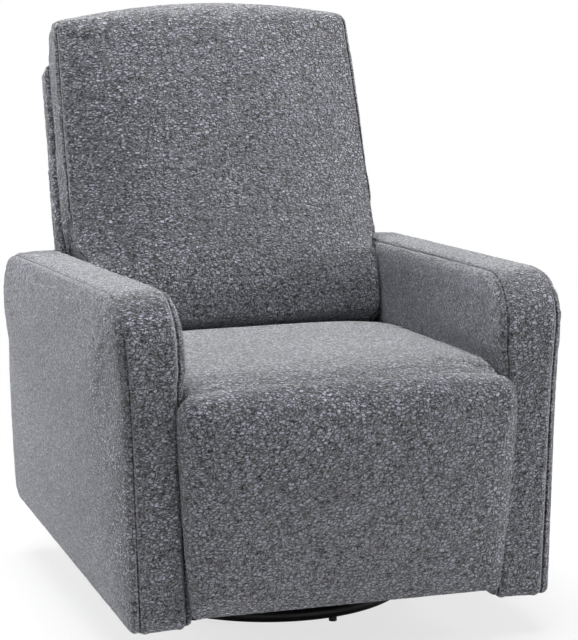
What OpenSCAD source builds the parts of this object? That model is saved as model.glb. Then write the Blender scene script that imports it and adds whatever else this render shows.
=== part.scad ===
// Swivel glider recliner: an upholstered armchair on a round swivel base.
// X runs across the chair, the sitter faces -Y, Z is up from the floor, sizes in millimetres.
// The origin is on the floor at the swivel axis.

/* [Whole chair] */
// Depth from the front of the leg rest to the rear of the outside back
chair_depth = 922; // [900:1:960]
// Clear width between the arms at their foot
arm_gap = 522; // [510:1:560]

/* [Arms] */
// Thickness of an arm
arm_t = 104; // [90:1:115]
// Outward lean of the arms in degrees
arm_lean = 1.9; // [0:0.1:2.5]
// How far the arms stand behind the front of the leg rest
arm_setback = 41.5; // [38:0.5:50]
// How far the arms end before the rear of the outside back
arm_rear_in = 75.5; // [60:0.5:90]
// Height of the arm's lower front corner
arm_foot_front = 72; // [60:1:90]
// Height of the arm's lower rear corner
arm_foot_rear = 104; // [80:1:115]
// Height of the arm's top line carried on to its front face
arm_top_front = 620; // [590:1:650]
// Height of the arm's top line carried on to its rear face
arm_top_rear = 558; // [530:1:600]
// Radius of the arm's upper front corner
arm_nose_r = 85; // [60:1:110]
// Radius of the arm's upper rear corner
arm_tail_r = 62; // [40:1:90]
// Radius of the two lower corners
arm_heel_r = 12; // [6:1:20]
// Softness of the arm's long edges
arm_edge_r = 13; // [8:1:18]
// Crown of the arm's outer face
arm_crown = 4; // [2:1:8]
// Padding over the arm's timber
arm_pad = 14; // [8:1:18]
// Width of the arm's timber members
arm_bar_w = 46; // [35:1:60]

/* [Round base] */
// Outer diameter of the floor ring
ring_od = 502; // [460:1:515]
// Diameter of the ring's tube
ring_tube_d = 22; // [18:1:26]
// Height of the glides under the ring
foot_h = 6; // [4:0.5:10]
// Diameter of a glide
foot_d = 14; // [10:1:18]
// Number of glides
foot_count = 6; // [4:1:8]
// Width of a base cross arm
cross_w = 36; // [28:1:44]
// Height of a base cross arm
cross_h = 18; // [14:1:20]

/* [Swivel bearing] */
// Side of the square bearing plates
race_plate_w = 190; // [180:1:200]
// Thickness of the bearing plates
race_plate_t = 4; // [3:0.5:5]
// Radius of the ball circle
race_r = 68; // [60:1:75]
// Width of a race
race_w = 18; // [15:1:22]
// Height of a race above its plate
race_h = 5; // [4.5:0.1:6]
// Gap between the two races
race_gap = 2.4; // [2:0.1:3]
// Diameter of a ball
ball_d = 10; // [9:0.1:10.5]
// Number of balls
ball_count = 18; // [12:1:24]
// Thickness of the ball cage
cage_t = 1.2; // [0.8:0.1:1.4]
// Diameter of the swivel bolt
bolt_d = 16; // [12:1:20]

/* [Glide] */
// Length of a glide link between its pivots
glide_link = 130; // [110:1:135]
// Height of the lower glide pivots
glide_low = 115; // [110:1:125]
// Distance between the front and rear glide pivots
glide_base = 220; // [180:1:230]
// Half distance between the inner faces of the two glide stands
stand_x = 196; // [185:1:200]
// Width of a glide link and half its stand's ears
glide_bar_w = 24; // [20:1:28]
// Washer gap beside a glide link
glide_gap = 3; // [2:0.5:4]
// Diameter of the glide pivots
glide_pin_d = 12; // [10:1:14]
// Side of the two square cross rails
rail_w = 30; // [25:1:32]
// Wall of the cross rails
rail_wall = 2; // [1.5:0.1:3]
// Distance of each cross rail from the swivel axis
rail_y = 200; // [195:1:215]
// How far the cross rails lie below the lower glide pivots
rail_drop = 8; // [6:0.5:12]

/* [Steel mechanism] */
// Thickness of the mechanism's plates and bars
steel_t = 4; // [3:0.5:4.5]
// Washer gap between neighbouring plates
washer_t = 1; // [0.8:0.1:1.4]
// Width of the leg-rest bars
link_w = 20; // [16:1:22]
// Diameter of the rivets
rivet_d = 8; // [6:0.5:10]
// Diameter of the rivet heads
rivet_head_d = 15; // [13:1:17]
// Running clearance round a pin
pin_clear = 0.08; // [0.04:0.01:0.1]
// Gap between the mechanism and the arms
arm_clear = 3; // [2.8:0.1:4]

/* [Seat] */
// Height of the seat top at its front roll
seat_top = 457; // [440:1:480]
// Crown in the middle of the seat
seat_crown = 19; // [8:1:26]
// Fall of the seat's side edges from front to rear
seat_fall = 22; // [10:1:30]
// Thickness of the seat cushion at its front roll
seat_t = 66; // [61:1:69]
// How far the seat cushion ends before the back pivots
seat_rear_in = 96; // [92:1:106]
// Side clearance between the seat cushion and the arms
seat_side_gap = 4; // [2:0.5:8]
// Thickness of the seat frame's timber
seat_bar_t = 20; // [16:1:22]
// Height of the seat frame's timber
seat_bar_h = 40; // [30:1:42]
// Diameter of the seat springs' wire
spring_d = 4; // [3:0.5:4.5]
// Number of seat springs
spring_count = 5; // [4:1:6]
// Rise of the seat guides towards the front in degrees
guide_rise = 4; // [2:0.5:5]
// Diameter of the guide rollers
roller_d = 16; // [14:1:18]
// Distance between the two rollers on a side
roller_base = 195; // [180:1:200]
// Height of the rollers at rest
roller_z = 290; // [286:1:294]

/* [Leg rest] */
// Radius of the padded roll at the seat's front edge
roll_r = 42; // [34:1:46]
// Height of the leg rest's lower edge
rest_bottom = 87; // [80:1:110]
// How far the leg rest leans forward from bottom to top
rest_lean = 20; // [10:1:24]
// Crown of the leg rest's front
rest_crown = 9; // [4:1:10]
// Width of the leg rest across its lower edge
rest_w_low = 536; // [528:1:545]
// Width of the leg rest across its upper lip
rest_w_top = 574; // [560:1:580]
// Gap between the leg rest's lip and the arm fronts
lip_gap = 3; // [2:0.5:4]
// Thickness of the leg-rest board
board_t = 15; // [12:1:18]
// How far the leg-rest board ends inside the padding on each side
board_side_in = 10; // [8:1:14]

/* [Leg-rest linkage] */
// Length of a crank between its pivots
crank_len = 150; // [140:1:155]
// Angle of the closed cranks behind straight down
crank_back = 21.5; // [18:0.5:24]
// Angle of the carriers above the level
carrier_rise = 23; // [20:0.5:25]
// Distance along a carrier from the front crank to the leg rest
carrier_len = 170; // [160:1:175]
// Distance between the front and rear cranks
crank_space = 62; // [56:1:66]
// How far the rod lies beyond the carrier along a crank
rod_drop = 40; // [36:1:42]
// Side of the square torque tube
tube_w = 18; // [14:1:19]

/* [Back] */
// Lean of the back from upright in degrees
back_tilt = 20.2; // [18:0.1:22]
// Height of the back pivots
back_pivot_z = 405; // [400:1:410]
// Distance from a back pivot down to its seat pin
back_lever = 119; // [112:1:122]
// Full recline of the back in degrees
back_swing = 36; // [25:1:38]
// Depth of the back cushion from its front seam to the frame
back_pad_t = 61; // [50:1:70]
// Depth of the back frame's timber
back_bar_d = 40; // [34:1:42]
// Crown of the back cushion
back_crown = 34; // [15:1:45]
// Height of the cushion's crown above the back pivots, along the back
back_len = 642; // [600:1:660]
// Height of the cushion's crown above its top corners
back_arch = 52; // [30:1:60]
// Half width of the back at its widest
back_half_w = 291; // [275:1:296]
// Half width of the back where it lies between the arms
back_low_half_w = 270; // [262:1:271]
// Half width of the back between the mechanism's plates
back_tail_half_w = 242; // [236:1:243]
// Height of the outside back above the back pivots, along the back
shell_len = 543; // [510:1:560]
// Thickness of the outside back's padding
shell_t = 6; // [4:0.5:7]

/* [Hidden] */
$fn = 48;

steel = "#2b2d30";
zinc = "#a9adb2";
timber = "#c79f6c";
fabric = "#868a92";
fabric_light = "#9a9ea6";
web = "#3a3632";

// One overrun serves every cut; an end play and a pin's head serve every large pin
over = 1;
end_play = 0.4;
pin_head_d = glide_pin_d + 8;
pin_head_t = 2.5;

// Front and rear of the chair, and the arm's outline as corner points with radii
front_y = -chair_depth / 2;
arm_front_y = front_y + arm_setback;
arm_rear_y = chair_depth / 2 - arm_rear_in;
arm_in_x = arm_gap / 2;
arm_corners = [
    [arm_front_y, arm_foot_front, arm_heel_r],
    [arm_rear_y, arm_foot_rear, arm_heel_r],
    [arm_rear_y, arm_top_rear, arm_tail_r],
    [arm_front_y, arm_top_front, arm_nose_r]
];

// Layers of steel plate, counted inwards from the plate beside the arm
plate_x = arm_in_x - arm_clear - steel_t;
function layer(n) = plate_x - n * (steel_t + washer_t);

// Heights in the base
ring_z = foot_h + ring_tube_d / 2;
cross_top = ring_z + cross_h / 2;
lower_race_top = cross_top + race_plate_t + race_h;
ball_z = lower_race_top + race_gap / 2;
upper_race_low = lower_race_top + race_gap;
turn_z = upper_race_low + race_h + race_plate_t;
channel_h = 20;
channel_w = 40;
channel_y = 60;
channel_wall = 2.5;

// Glide linkage
glide_top = glide_low + glide_link;
glide_link_x = stand_x + steel_t + glide_gap;
hanger_x = glide_link_x + steel_t + glide_gap;
rail_low = glide_low - rail_drop - rail_w / 2;

// Leg rest: the roll turns about its own axis, which is the leg rest's hinge
hinge_z = seat_top - roll_r;
seat_under = seat_top - seat_t;
front_steps = 9;
rest_hem = 14;
rest_filling_t = 64;
board_margin = 16;
board_head = 50;
function rest_row_z(k) = mix(hinge_z, rest_bottom + rest_hem, k / front_steps);
function rest_bulge(z) = rest_crown * sin(180 * pow(ramp(z, rest_bottom, hinge_z), 1.4));
function rest_fall(z) = rest_lean * (1 - ramp(z, rest_bottom, hinge_z));
rest_peak = max([for (k = [1 : front_steps]) rest_bulge(rest_row_z(k)) - rest_fall(rest_row_z(k))]);
rest_front_y = front_y + rest_peak;
hinge_y = rest_front_y + roll_r;
board_y = rest_front_y + rest_filling_t;
board_low = rest_bottom + board_margin;
board_top = hinge_z - board_head;

// Leg-rest linkage, closed: directions as [y, z]
crank_dir = [sin(crank_back), -cos(crank_back)];
carrier_dir = [-cos(carrier_rise), sin(carrier_rise)];
hinge = [hinge_y, hinge_z];
crank_vec = crank_dir * crank_len;
front_pivot = hinge - carrier_dir * carrier_len;
rear_pivot = front_pivot - carrier_dir * crank_space;
front_joint = front_pivot + crank_vec;
rear_joint = rear_pivot + crank_vec;
rest_joint = hinge + crank_vec;
rod_vec = crank_dir * rod_drop;
rod_joint = rear_joint + rod_vec;
rod_rest_joint = rest_joint + rod_vec;

// The back's parts are drawn in the back's own frame: y is depth, z runs along the back
frame_gap = 2.5;
back_front = -(back_pad_t + back_bar_d / 2 - 2 * frame_gap);
back_pad_rear = back_front + back_pad_t;
shell_rear = back_pad_rear + frame_gap + back_bar_d + frame_gap / 5 + shell_t;
tail_low = -100;
pad_low = -46;
widen_low = 28;
widen_high = 46;
bulge_low = 150;
bulge_high = 240;
bulge_share = 1 / 3;
back_rows = [
    tail_low, mix(tail_low, widen_low, 1 / 2), widen_low, widen_high, mix(widen_high, bulge_low, 1 / 2),
    bulge_low, mix(bulge_low, bulge_high, bulge_share), mix(bulge_low, bulge_high, 2 * bulge_share), bulge_high
];
upper_rows = 5;
crown_low = -30;
crown_high = 110;
back_taper = 14;
taper_low = 300;
taper_high = 560;
pad_corner = 26;
pad_hem = 16;
pad_seam = 6;
corner_share = 0.6;
front_share = 0.9;
base_share = 0.25;
shell_arch = 8;
shell_crown = 5;
shell_corner = 16;
shell_side_gap = 1;

// Back pivots, the seat pins below them, and how far they drive the seat
back_reach = max([for (p = shell_outline(0)) p.y * cos(back_tilt) + p.z * sin(back_tilt)]);
back_pivot = [chair_depth / 2 - back_reach, back_pivot_z];
seat_rear = back_pivot.x - seat_rear_in;
seat_pin = back_pivot + back_lever * [sin(back_swing / 2), -cos(back_swing / 2)];
seat_run = 2 * back_lever * sin(back_swing / 2) / cos(guide_rise);
guide_dir = [-cos(guide_rise), sin(guide_rise)];
roller_setback = 406;
roller_front = [seat_pin.x - roller_setback, roller_z];
roller_rear = roller_front + [roller_base, 0];
pin_dip = back_lever * (1 - cos(back_swing / 2)) + seat_run * sin(guide_rise) / 2;
pin_play = 0.7;

seat_half_w = arm_in_x + (seat_under - arm_foot_front) * tan(arm_lean) - seat_side_gap;
frame_side_gap = 3;
frame_lead = 30;
frame_rear_gap = 6;
spring_room = 9;
frame_half_w = layer(5) - frame_side_gap;
frame_low = seat_under - spring_room - seat_bar_h;
frame_front = front_pivot.x - frame_lead;
frame_rear = seat_rear - frame_rear_gap;

function unit(v) = v / norm(v);
function flat(p) = [p.x, p.y];
function mix(a, b, share) = a + (b - a) * share;
function ramp(v, low, high) = max(0, min(1, (v - low) / (high - low)));
function soft(share) = share * share * (3 - 2 * share);

// Outline of a polygon of [y, z, radius] corners, drawn in by an inset
function rounded(corners, inset, steps) = [
    for (i = [0 : len(corners) - 1])
        let (
            here = flat(corners[i]),
            back = unit(flat(corners[(i + len(corners) - 1) % len(corners)]) - here),
            ahead = unit(flat(corners[(i + 1) % len(corners)]) - here),
            half = acos(back * ahead) / 2,
            middle = unit(back + ahead),
            r = max(corners[i].z - inset, corners[i].z / 4),
            centre = here + middle * ((inset + r) / sin(half)),
            start = here + middle * (inset / sin(half)) + back * (r / tan(half)) - centre,
            first = atan2(start.y, start.x)
        )
        for (k = [0 : steps])
            centre + r * [cos(first + (180 - 2 * half) * k / steps), sin(first + (180 - 2 * half) * k / steps)]
];

function middle_of(loop) = [for (i = [0 : 2]) [for (p = loop) p[i]] * [for (p = loop) 1] / len(loop)];

// A closed soft form through rings of points, each ring an [x, y, z] loop.
// Its ends are fans, or strips across a ring that runs up one side and down the other
module loft(rings, strips = false) {
    n = len(rings[0]);
    m = len(rings);
    corners = [for (ring = rings) each ring];
    points = strips ? corners : concat(corners, [middle_of(rings[0]), middle_of(rings[m - 1])]);
    sides = [
        for (i = [0 : m - 2], j = [0 : n - 1])
            let (k = (j + 1) % n)
            each [
                [i * n + j, (i + 1) * n + j, (i + 1) * n + k],
                [i * n + j, (i + 1) * n + k, i * n + k]
            ]
    ];
    fan = [for (j = [0 : n - 1]) [n * m, j, (j + 1) % n]];
    strip = [
        for (j = [0 : floor(n / 2) - 1])
            let (far = n - 1 - j)
            each concat(
                far > j + 1 ? [[j, j + 1, far]] : [],
                far - 1 > j + 1 ? [[j + 1, far - 1, far]] : []
            )
    ];
    first_cap = strips ? strip : fan;
    last_cap = [for (face = first_cap) [for (k = [2 : -1 : 0]) face[k] == n * m ? n * m + 1 : face[k] + (m - 1) * n]];
    polyhedron(points, concat(sides, first_cap, last_cap));
}

// A flat plate across X, drawn as [y, z]
module plate_at(x, t) {
    translate([x, 0, 0])
        rotate([90, 0, 90])
            linear_extrude(t)
                children();
}

// A round pin along X through a [y, z] point
module pin_at(x, length, at, d) {
    translate([x, at.x, at.y])
        rotate([0, 90, 0])
            cylinder(h = length, d = d);
}

// A rivet whose shank starts in one plate and whose head holds the next layer inwards
module rivet_at(x_outer, x_inner, at) {
    pin_at(x_inner - washer_t / 2, x_outer - x_inner + washer_t / 2, at, rivet_d);
    pin_at(x_inner - steel_t + washer_t / 2, steel_t - washer_t, at, rivet_head_d);
}

// A bar with round eyes a little wider than its shank
eye_share = 0.86;
module link_2d(a, b, w) {
    holes_2d([a, b], w);
    translate(a)
        rotate(atan2(b.y - a.y, b.x - a.x))
            translate([0, -w * eye_share / 2])
                square([norm(b - a), w * eye_share]);
}

// A straight slot with round ends between two points
module slot_2d(a, b, w) {
    translate(a)
        circle(d = w);
    translate(b)
        circle(d = w);
    translate(a)
        rotate(atan2(b.y - a.y, b.x - a.x))
            translate([0, -w / 2])
                square([norm(b - a), w]);
}

module holes_2d(places, d) {
    for (place = places)
        translate(place)
            circle(d = d);
}

module on_side(side) {
    if (side > 0)
        children();
    else
        mirror([1, 0, 0])
            children();
}

module both_sides() {
    for (side = [-1, 1])
        on_side(side)
            children();
}

// Round base

module ring_solid(grow) {
    translate([0, 0, ring_z])
        rotate_extrude($fn = 96)
            translate([(ring_od - ring_tube_d) / 2, 0])
                circle(d = ring_tube_d + grow);
}

module base_ring() {
    color(steel)
        ring_solid(0);
}

module base_cross() {
    cross_l = ring_od - ring_tube_d;
    color(steel)
        difference() {
            for (turn = [0, 90])
                rotate(turn)
                    translate([-cross_l / 2, -cross_w / 2, ring_z - cross_h / 2])
                        cube([cross_l, cross_w, cross_h]);
            ring_solid(0);
            translate([0, 0, ring_z - cross_h])
                cylinder(h = 2 * cross_h, d = bolt_d + 2 * pin_clear);
        }
}

module base_glides() {
    foot_phase = 280;
    color("#17181a")
        difference() {
            for (i = [0 : foot_count - 1])
                rotate(foot_phase + 360 * i / foot_count)
                    translate([(ring_od - ring_tube_d) / 2, 0, 0])
                        cylinder(h = foot_h + ring_tube_d / 4, d = foot_d);
            ring_solid(0);
        }
}

// Swivel bearing

module race_half(plate_low, race_low) {
    difference() {
        union() {
            translate([-race_plate_w / 2, -race_plate_w / 2, plate_low])
                cube([race_plate_w, race_plate_w, race_plate_t]);
            translate([0, 0, race_low])
                difference() {
                    cylinder(h = race_h, r = race_r + race_w / 2);
                    translate([0, 0, -over])
                        cylinder(h = race_h + 2 * over, r = race_r - race_w / 2);
                }
        }
        translate([0, 0, ball_z])
            rotate_extrude($fn = 96)
                translate([race_r, 0])
                    circle(d = ball_d + 2 * pin_clear);
        translate([0, 0, plate_low - over])
            cylinder(h = race_plate_t + 2 * over, d = bolt_d + 2 * pin_clear);
    }
}

module lower_race() {
    color(zinc)
        race_half(cross_top, cross_top + race_plate_t);
}

module upper_race() {
    color(zinc)
        race_half(upper_race_low + race_h, upper_race_low);
}

module swivel_bolt() {
    head_h = 5;
    nut_h = 10;
    nut_w = 26;
    bolt_low = ring_z - cross_h / 2 - head_h;
    color(zinc)
        union() {
            translate([0, 0, bolt_low])
                cylinder(h = turn_z + washer_t / 2 + nut_h - bolt_low, d = bolt_d);
            translate([0, 0, bolt_low])
                cylinder(h = head_h, d = nut_w, $fn = 6);
            translate([0, 0, turn_z + washer_t / 2])
                cylinder(h = nut_h, d = nut_w, $fn = 6);
        }
}

module ball_cage() {
    color("#b08d3f")
        difference() {
            translate([0, 0, ball_z - cage_t / 2])
                cylinder(h = cage_t, r = race_r + race_w / 2);
            translate([0, 0, ball_z - race_gap])
                cylinder(h = 2 * race_gap, r = race_r - race_w / 2);
            for (i = [0 : ball_count - 1])
                rotate(360 * i / ball_count)
                    translate([race_r, 0, ball_z - race_gap])
                        cylinder(h = 2 * race_gap, d = ball_d + 4 * pin_clear);
        }
}

module bearing_balls() {
    color("#d0d3d6")
        for (i = [0 : ball_count - 1])
            rotate(360 * i / ball_count)
                translate([race_r, 0, ball_z])
                    sphere(d = ball_d);
}

// Glide stand and links

module glide_channels() {
    color(steel)
        for (side = [-1, 1])
            difference() {
                translate([-stand_x, side * channel_y - channel_w / 2, turn_z])
                    cube([2 * stand_x, channel_w, channel_h]);
                translate([-stand_x - over, side * channel_y - channel_w / 2 + channel_wall, turn_z + channel_wall])
                    cube([2 * (stand_x + over), channel_w - 2 * channel_wall, channel_h]);
            }
}

module glide_stand(side) {
    pivot_y = glide_base / 2;
    ear_rim = 4;
    foot_rim = 12;
    ear = glide_bar_w / 2 + ear_rim;
    foot_y = channel_y + channel_w / 2 + foot_rim;
    waist_share = 0.45;
    waist_z = mix(turn_z, glide_top, waist_share);
    color(steel)
        on_side(side)
            plate_at(stand_x, steel_t)
                difference() {
                    union() {
                        polygon([
                            [-foot_y, turn_z],
                            [foot_y, turn_z],
                            [foot_y, waist_z],
                            [pivot_y + ear, glide_top],
                            [-pivot_y - ear, glide_top],
                            [-foot_y, waist_z]
                        ]);
                        for (end = [-1, 1])
                            translate([end * pivot_y, glide_top])
                                circle(r = ear);
                    }
                    holes_2d([[-pivot_y, glide_top], [pivot_y, glide_top]], glide_pin_d);
                    translate([-foot_y / 2, waist_z])
                        circle(r = foot_y / 4);
                    translate([foot_y / 2, waist_z])
                        circle(r = foot_y / 4);
                }
}

module glide_top_pins() {
    color(zinc)
        both_sides()
            for (end = [-1, 1]) {
                pin_at(stand_x, 2 * steel_t + glide_gap + end_play, [end * glide_base / 2, glide_top], glide_pin_d);
                pin_at(glide_link_x + steel_t + end_play, pin_head_t,
                    [end * glide_base / 2, glide_top], pin_head_d);
            }
}

module glide_low_pins() {
    color(zinc)
        both_sides()
            for (end = [-1, 1]) {
                pin_at(glide_link_x - end_play, hanger_x + steel_t - glide_link_x + end_play,
                    [end * glide_base / 2, glide_low], glide_pin_d);
                pin_at(glide_link_x - end_play - pin_head_t, pin_head_t,
                    [end * glide_base / 2, glide_low], pin_head_d);
            }
}

module glide_link_bar(side, end) {
    low = [end * glide_base / 2, glide_low];
    high = [end * glide_base / 2, glide_top];
    color(zinc)
        on_side(side)
            plate_at(glide_link_x, steel_t)
                difference() {
                    link_2d(low, high, glide_bar_w);
                    holes_2d([low, high], glide_pin_d + 2 * pin_clear);
                }
}

// Chassis

module cross_rails() {
    color(steel)
        for (end = [-1, 1])
            difference() {
                translate([-plate_x, end * rail_y - rail_w / 2, rail_low])
                    cube([2 * plate_x, rail_w, rail_w]);
                translate([-plate_x - over, end * rail_y - rail_w / 2 + rail_wall, rail_low + rail_wall])
                    cube([2 * (plate_x + over), rail_w - 2 * rail_wall, rail_w - 2 * rail_wall]);
            }
}

module glide_hangers() {
    reach = rail_y - rail_w / 2;
    color(steel)
        both_sides()
            plate_at(hanger_x, steel_t)
                difference() {
                    translate([-reach, glide_low - rail_w / 2])
                        square([2 * reach, rail_w]);
                    holes_2d([[-glide_base / 2, glide_low], [glide_base / 2, glide_low]], glide_pin_d);
                }
}

// Bolts that carry the arms: [y, z] on the chassis plates
arm_bolt_d = 8;
bolt_in = 40;
bolt_up = 55;
bolt_places = [[-rail_y + bolt_in, rail_low + bolt_up], [rail_y - bolt_in, rail_low + bolt_up]];

module chassis_plate(side) {
    front = -rail_y - rail_w;
    rear_rim = 22;
    top_rim = 26;
    ear = 20;
    hole_r = 32;
    hole_up = 110;
    rear = back_pivot.x + rear_rim;
    top = roller_z + roller_d / 2 + top_rim;
    slot_d = roller_d + 4 * pin_clear;
    color(steel)
        on_side(side)
            plate_at(plate_x, steel_t)
                difference() {
                    union() {
                        polygon([
                            [front, rail_low],
                            [rail_y + rail_w, rail_low],
                            [rear, roller_z],
                            back_pivot + [ear, 0],
                            back_pivot - [ear, 0],
                            [back_pivot.x - 2 * ear, top],
                            [front + ear, top],
                            [front, roller_z - roller_d]
                        ]);
                        translate(back_pivot)
                            circle(r = ear);
                    }
                    translate(back_pivot)
                        circle(d = glide_pin_d);
                    for (roller = [roller_front, roller_rear])
                        slot_2d(roller, roller + guide_dir * seat_run, slot_d);
                    holes_2d(bolt_places, arm_bolt_d + 4 * pin_clear);
                    for (place = [-1 : 1])
                        translate([place * rail_y / 2, rail_low + hole_up])
                            circle(r = hole_r);
                }
}

module recline_pins() {
    inner = layer(1) - washer_t / 2;
    color(zinc)
        both_sides() {
            pin_at(inner, plate_x + steel_t - inner, back_pivot, glide_pin_d);
            pin_at(inner - pin_head_t, pin_head_t, back_pivot, pin_head_d);
        }
}

module arm_bolts() {
    head_t = 4;
    grip = arm_clear + arm_pad + arm_t / 2;
    color(zinc)
        both_sides()
            for (place = bolt_places) {
                pin_at(plate_x - head_t, head_t + steel_t + grip, place, arm_bolt_d);
                pin_at(plate_x - head_t, head_t, place, 2 * arm_bolt_d);
            }
}

arm_inset = arm_pad * 1.6;
timber_steps = 6;

// Everything in an arm is drawn upright and then leaned outwards about its inner foot
module leaned(side) {
    on_side(side)
        translate([arm_in_x, 0, arm_foot_front])
            rotate([0, arm_lean, 0])
                translate([0, 0, -arm_foot_front])
                    children();
}

module bolt_ways(side, d) {
    on_side(side)
        for (place = bolt_places)
            pin_at(arm_in_x - arm_t, 2 * arm_t, place, d);
}

module arm_frame(side) {
    low = arm_foot_rear + arm_pad + arm_bar_w;
    high = arm_top_rear - arm_inset - arm_bar_w;
    first = arm_front_y + arm_inset + arm_bar_w;
    last = arm_rear_y - arm_inset - arm_bar_w;
    window = (last - first - arm_bar_w) / 2;
    color(timber)
        difference() {
            leaned(side)
                plate_at(arm_pad, arm_t - 2 * arm_pad)
                    difference() {
                        polygon(rounded(arm_corners, arm_inset, timber_steps));
                        for (start = [first, last - window])
                            translate([start, low])
                                square([window, high - low]);
                    }
            bolt_ways(side, arm_bolt_d + 4 * pin_clear);
        }
}

module arm_pad_solid(side) {
    steps = 8;
    soft_edge = [for (a = [0 : 30 : 90]) [arm_edge_r * (1 - cos(a)), arm_edge_r * (1 - sin(a))]];
    inner = soft_edge;
    outer = [for (i = [3 : -1 : 0]) [arm_t - soft_edge[i].x, soft_edge[i].y]];
    centre = [(arm_front_y + arm_rear_y) / 2, (arm_foot_rear + arm_top_rear) / 2];
    crown_shares = [[0.85, 0.55], [0.55, 0.9], [0.25, 1]];
    color(fabric_light)
        difference() {
            leaned(side)
                loft(concat(
                    [for (e = concat(inner, outer)) [for (p = rounded(arm_corners, e.y, steps)) [e.x, p.x, p.y]]],
                    [for (c = crown_shares) [
                        for (p = rounded(arm_corners, arm_edge_r, steps))
                            [arm_t + arm_crown * c.y, mix(centre.x, p.x, c.x), mix(centre.y, p.y, c.x)]
                    ]]
                ));
            leaned(side)
                plate_at(arm_pad, arm_t - 2 * arm_pad)
                    polygon(rounded(arm_corners, arm_inset, timber_steps));
            bolt_ways(side, arm_bolt_d + 4 * pin_clear);
        }
}

module rear_panel() {
    panel_t = 18;
    panel_top = 276;
    panel_in = 50;
    panel_y = arm_rear_y - panel_in;
    lean = tan(arm_lean);
    low_w = arm_in_x + (arm_foot_rear - arm_foot_front) * lean;
    top_w = arm_in_x + (panel_top - arm_foot_front) * lean;
    color(fabric)
        translate([0, panel_y, 0])
            rotate([90, 0, 0])
                linear_extrude(panel_t)
                    polygon([
                        [-low_w, arm_foot_rear],
                        [low_w, arm_foot_rear],
                        [top_w, panel_top],
                        [-top_w, panel_top]
                    ]);
}

// Seat

module seat_plate(side) {
    nose = 19;
    top_drop = 8;
    roller_rim = 14;
    top = frame_low + seat_bar_h - top_drop;
    low = roller_z - roller_d / 2 - roller_rim;
    slot_d = glide_pin_d + 2 * pin_play;
    color(zinc)
        on_side(side)
            plate_at(layer(2), steel_t)
                difference() {
                    union() {
                        polygon([
                            [front_pivot.x - nose, front_pivot.y],
                            [rear_pivot.x, rear_pivot.y - nose],
                            [roller_front.x - roller_d, low],
                            [seat_pin.x + nose, low],
                            [seat_pin.x + nose, seat_pin.y + nose],
                            [seat_rear - nose, top],
                            [front_pivot.x, top]
                        ]);
                        translate(front_pivot)
                            circle(r = nose);
                        translate(rear_pivot)
                            circle(r = nose);
                    }
                    translate(front_pivot)
                        circle(d = rivet_d);
                    translate(rear_pivot)
                        circle(d = journal_d + 2 * pin_clear);
                    holes_2d([roller_front, roller_rear], roller_d / 2);
                    slot_2d(seat_pin + [0, over], seat_pin - [0, pin_dip + over], slot_d);
                    holes_2d(spacer_places, rivet_d);
                }
}

module seat_rollers() {
    head_t = 1.6;
    head_d = roller_d + 7;
    color("#e6e4de")
        both_sides()
            for (roller = [roller_front, roller_rear]) {
                pin_at(layer(2), layer(0) - layer(2) + steel_t + washer_t / 2, roller, roller_d / 2);
                pin_at(layer(1), 2 * steel_t + washer_t + washer_t / 2, roller, roller_d);
                pin_at(layer(0) + steel_t + washer_t / 2, head_t, roller, head_d);
            }
}

module crank_rivets() {
    color(zinc)
        both_sides()
            rivet_at(layer(2) + steel_t, layer(3), front_pivot);
}

spacer_lead = 80;
spacer_in = 60;
spacer_z = frame_low + seat_bar_h / 2;
spacer_places = [[rear_pivot.x + spacer_lead, spacer_z], [seat_rear - spacer_in, spacer_z]];

module seat_spacers() {
    color(zinc)
        both_sides()
            for (place = spacer_places) {
                pin_at(frame_half_w - seat_bar_t, layer(2) + steel_t - frame_half_w + seat_bar_t, place, rivet_d);
                pin_at(frame_half_w, layer(2) - frame_half_w, place, 2 * rivet_d);
            }
}

module seat_frame() {
    length = frame_rear - frame_front;
    color(timber)
        difference() {
            translate([-frame_half_w, frame_front, frame_low])
                cube([2 * frame_half_w, length, seat_bar_h]);
            translate([-frame_half_w + seat_bar_t, frame_front + seat_bar_t, frame_low - over])
                cube([2 * (frame_half_w - seat_bar_t), length - 2 * seat_bar_t, seat_bar_h + 2 * over]);
            both_sides()
                for (place = spacer_places)
                    pin_at(frame_half_w - seat_bar_t - over, seat_bar_t + 2 * over, place, rivet_d);
        }
}

// A sinuous spring: straight runs across, joined by half turns, rising over the middle of its span
bend_count = 14;
bend_steps = 4;
function spring_path(span, reach, pitch) = [
    for (i = [0 : bend_count - 1], k = [0 : bend_steps])
        let (
            side = i % 2 == 0 ? 1 : -1,
            turn = 180 * k / bend_steps - 90,
            along = pitch * (i + 0.5) + pitch / 2 * sin(turn),
            across = side * (reach + pitch / 2 * cos(turn))
        )
        [across, along]
];

module wire(path, d, sides) {
    last = len(path) - 1;
    loft([
        for (i = [0 : last])
            let (
                ahead = unit(path[min(i + 1, last)] - path[max(i - 1, 0)]),
                out = unit(cross(ahead, [0, 0, 1])),
                up = cross(ahead, out)
            )
            [for (k = [0 : sides - 1]) path[i] + d / 2 * (cos(360 * k / sides) * out + sin(360 * k / sides) * up)]
    ]);
}

spring_span = frame_rear - frame_front - seat_bar_t;
spring_pitch = spring_span / bend_count;
spring_arm = 14;
spring_lift = 0.3;
spring_z = frame_low + seat_bar_h + spring_d / 2 + spring_lift;
spring_flat = spring_path(spring_span, spring_arm, spring_pitch);
spring_gap = min([
    for (i = [0 : len(spring_flat) - 1], j = [0 : len(spring_flat) - 1])
        if (abs(i - j) > bend_steps + 1) norm(spring_flat[i] - spring_flat[j])
]) - spring_d;
echo(least_gap_between_spring_turns = spring_gap);

module seat_springs() {
    spacing = 2 * (frame_half_w - seat_bar_t) / (spring_count + 1);
    color(zinc)
        for (i = [1 : spring_count])
            translate([-frame_half_w + seat_bar_t + i * spacing, frame_front + seat_bar_t / 2, spring_z])
                wire([for (p = spring_flat) [p.x, p.y, 0]], spring_d, 6);
}

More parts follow.
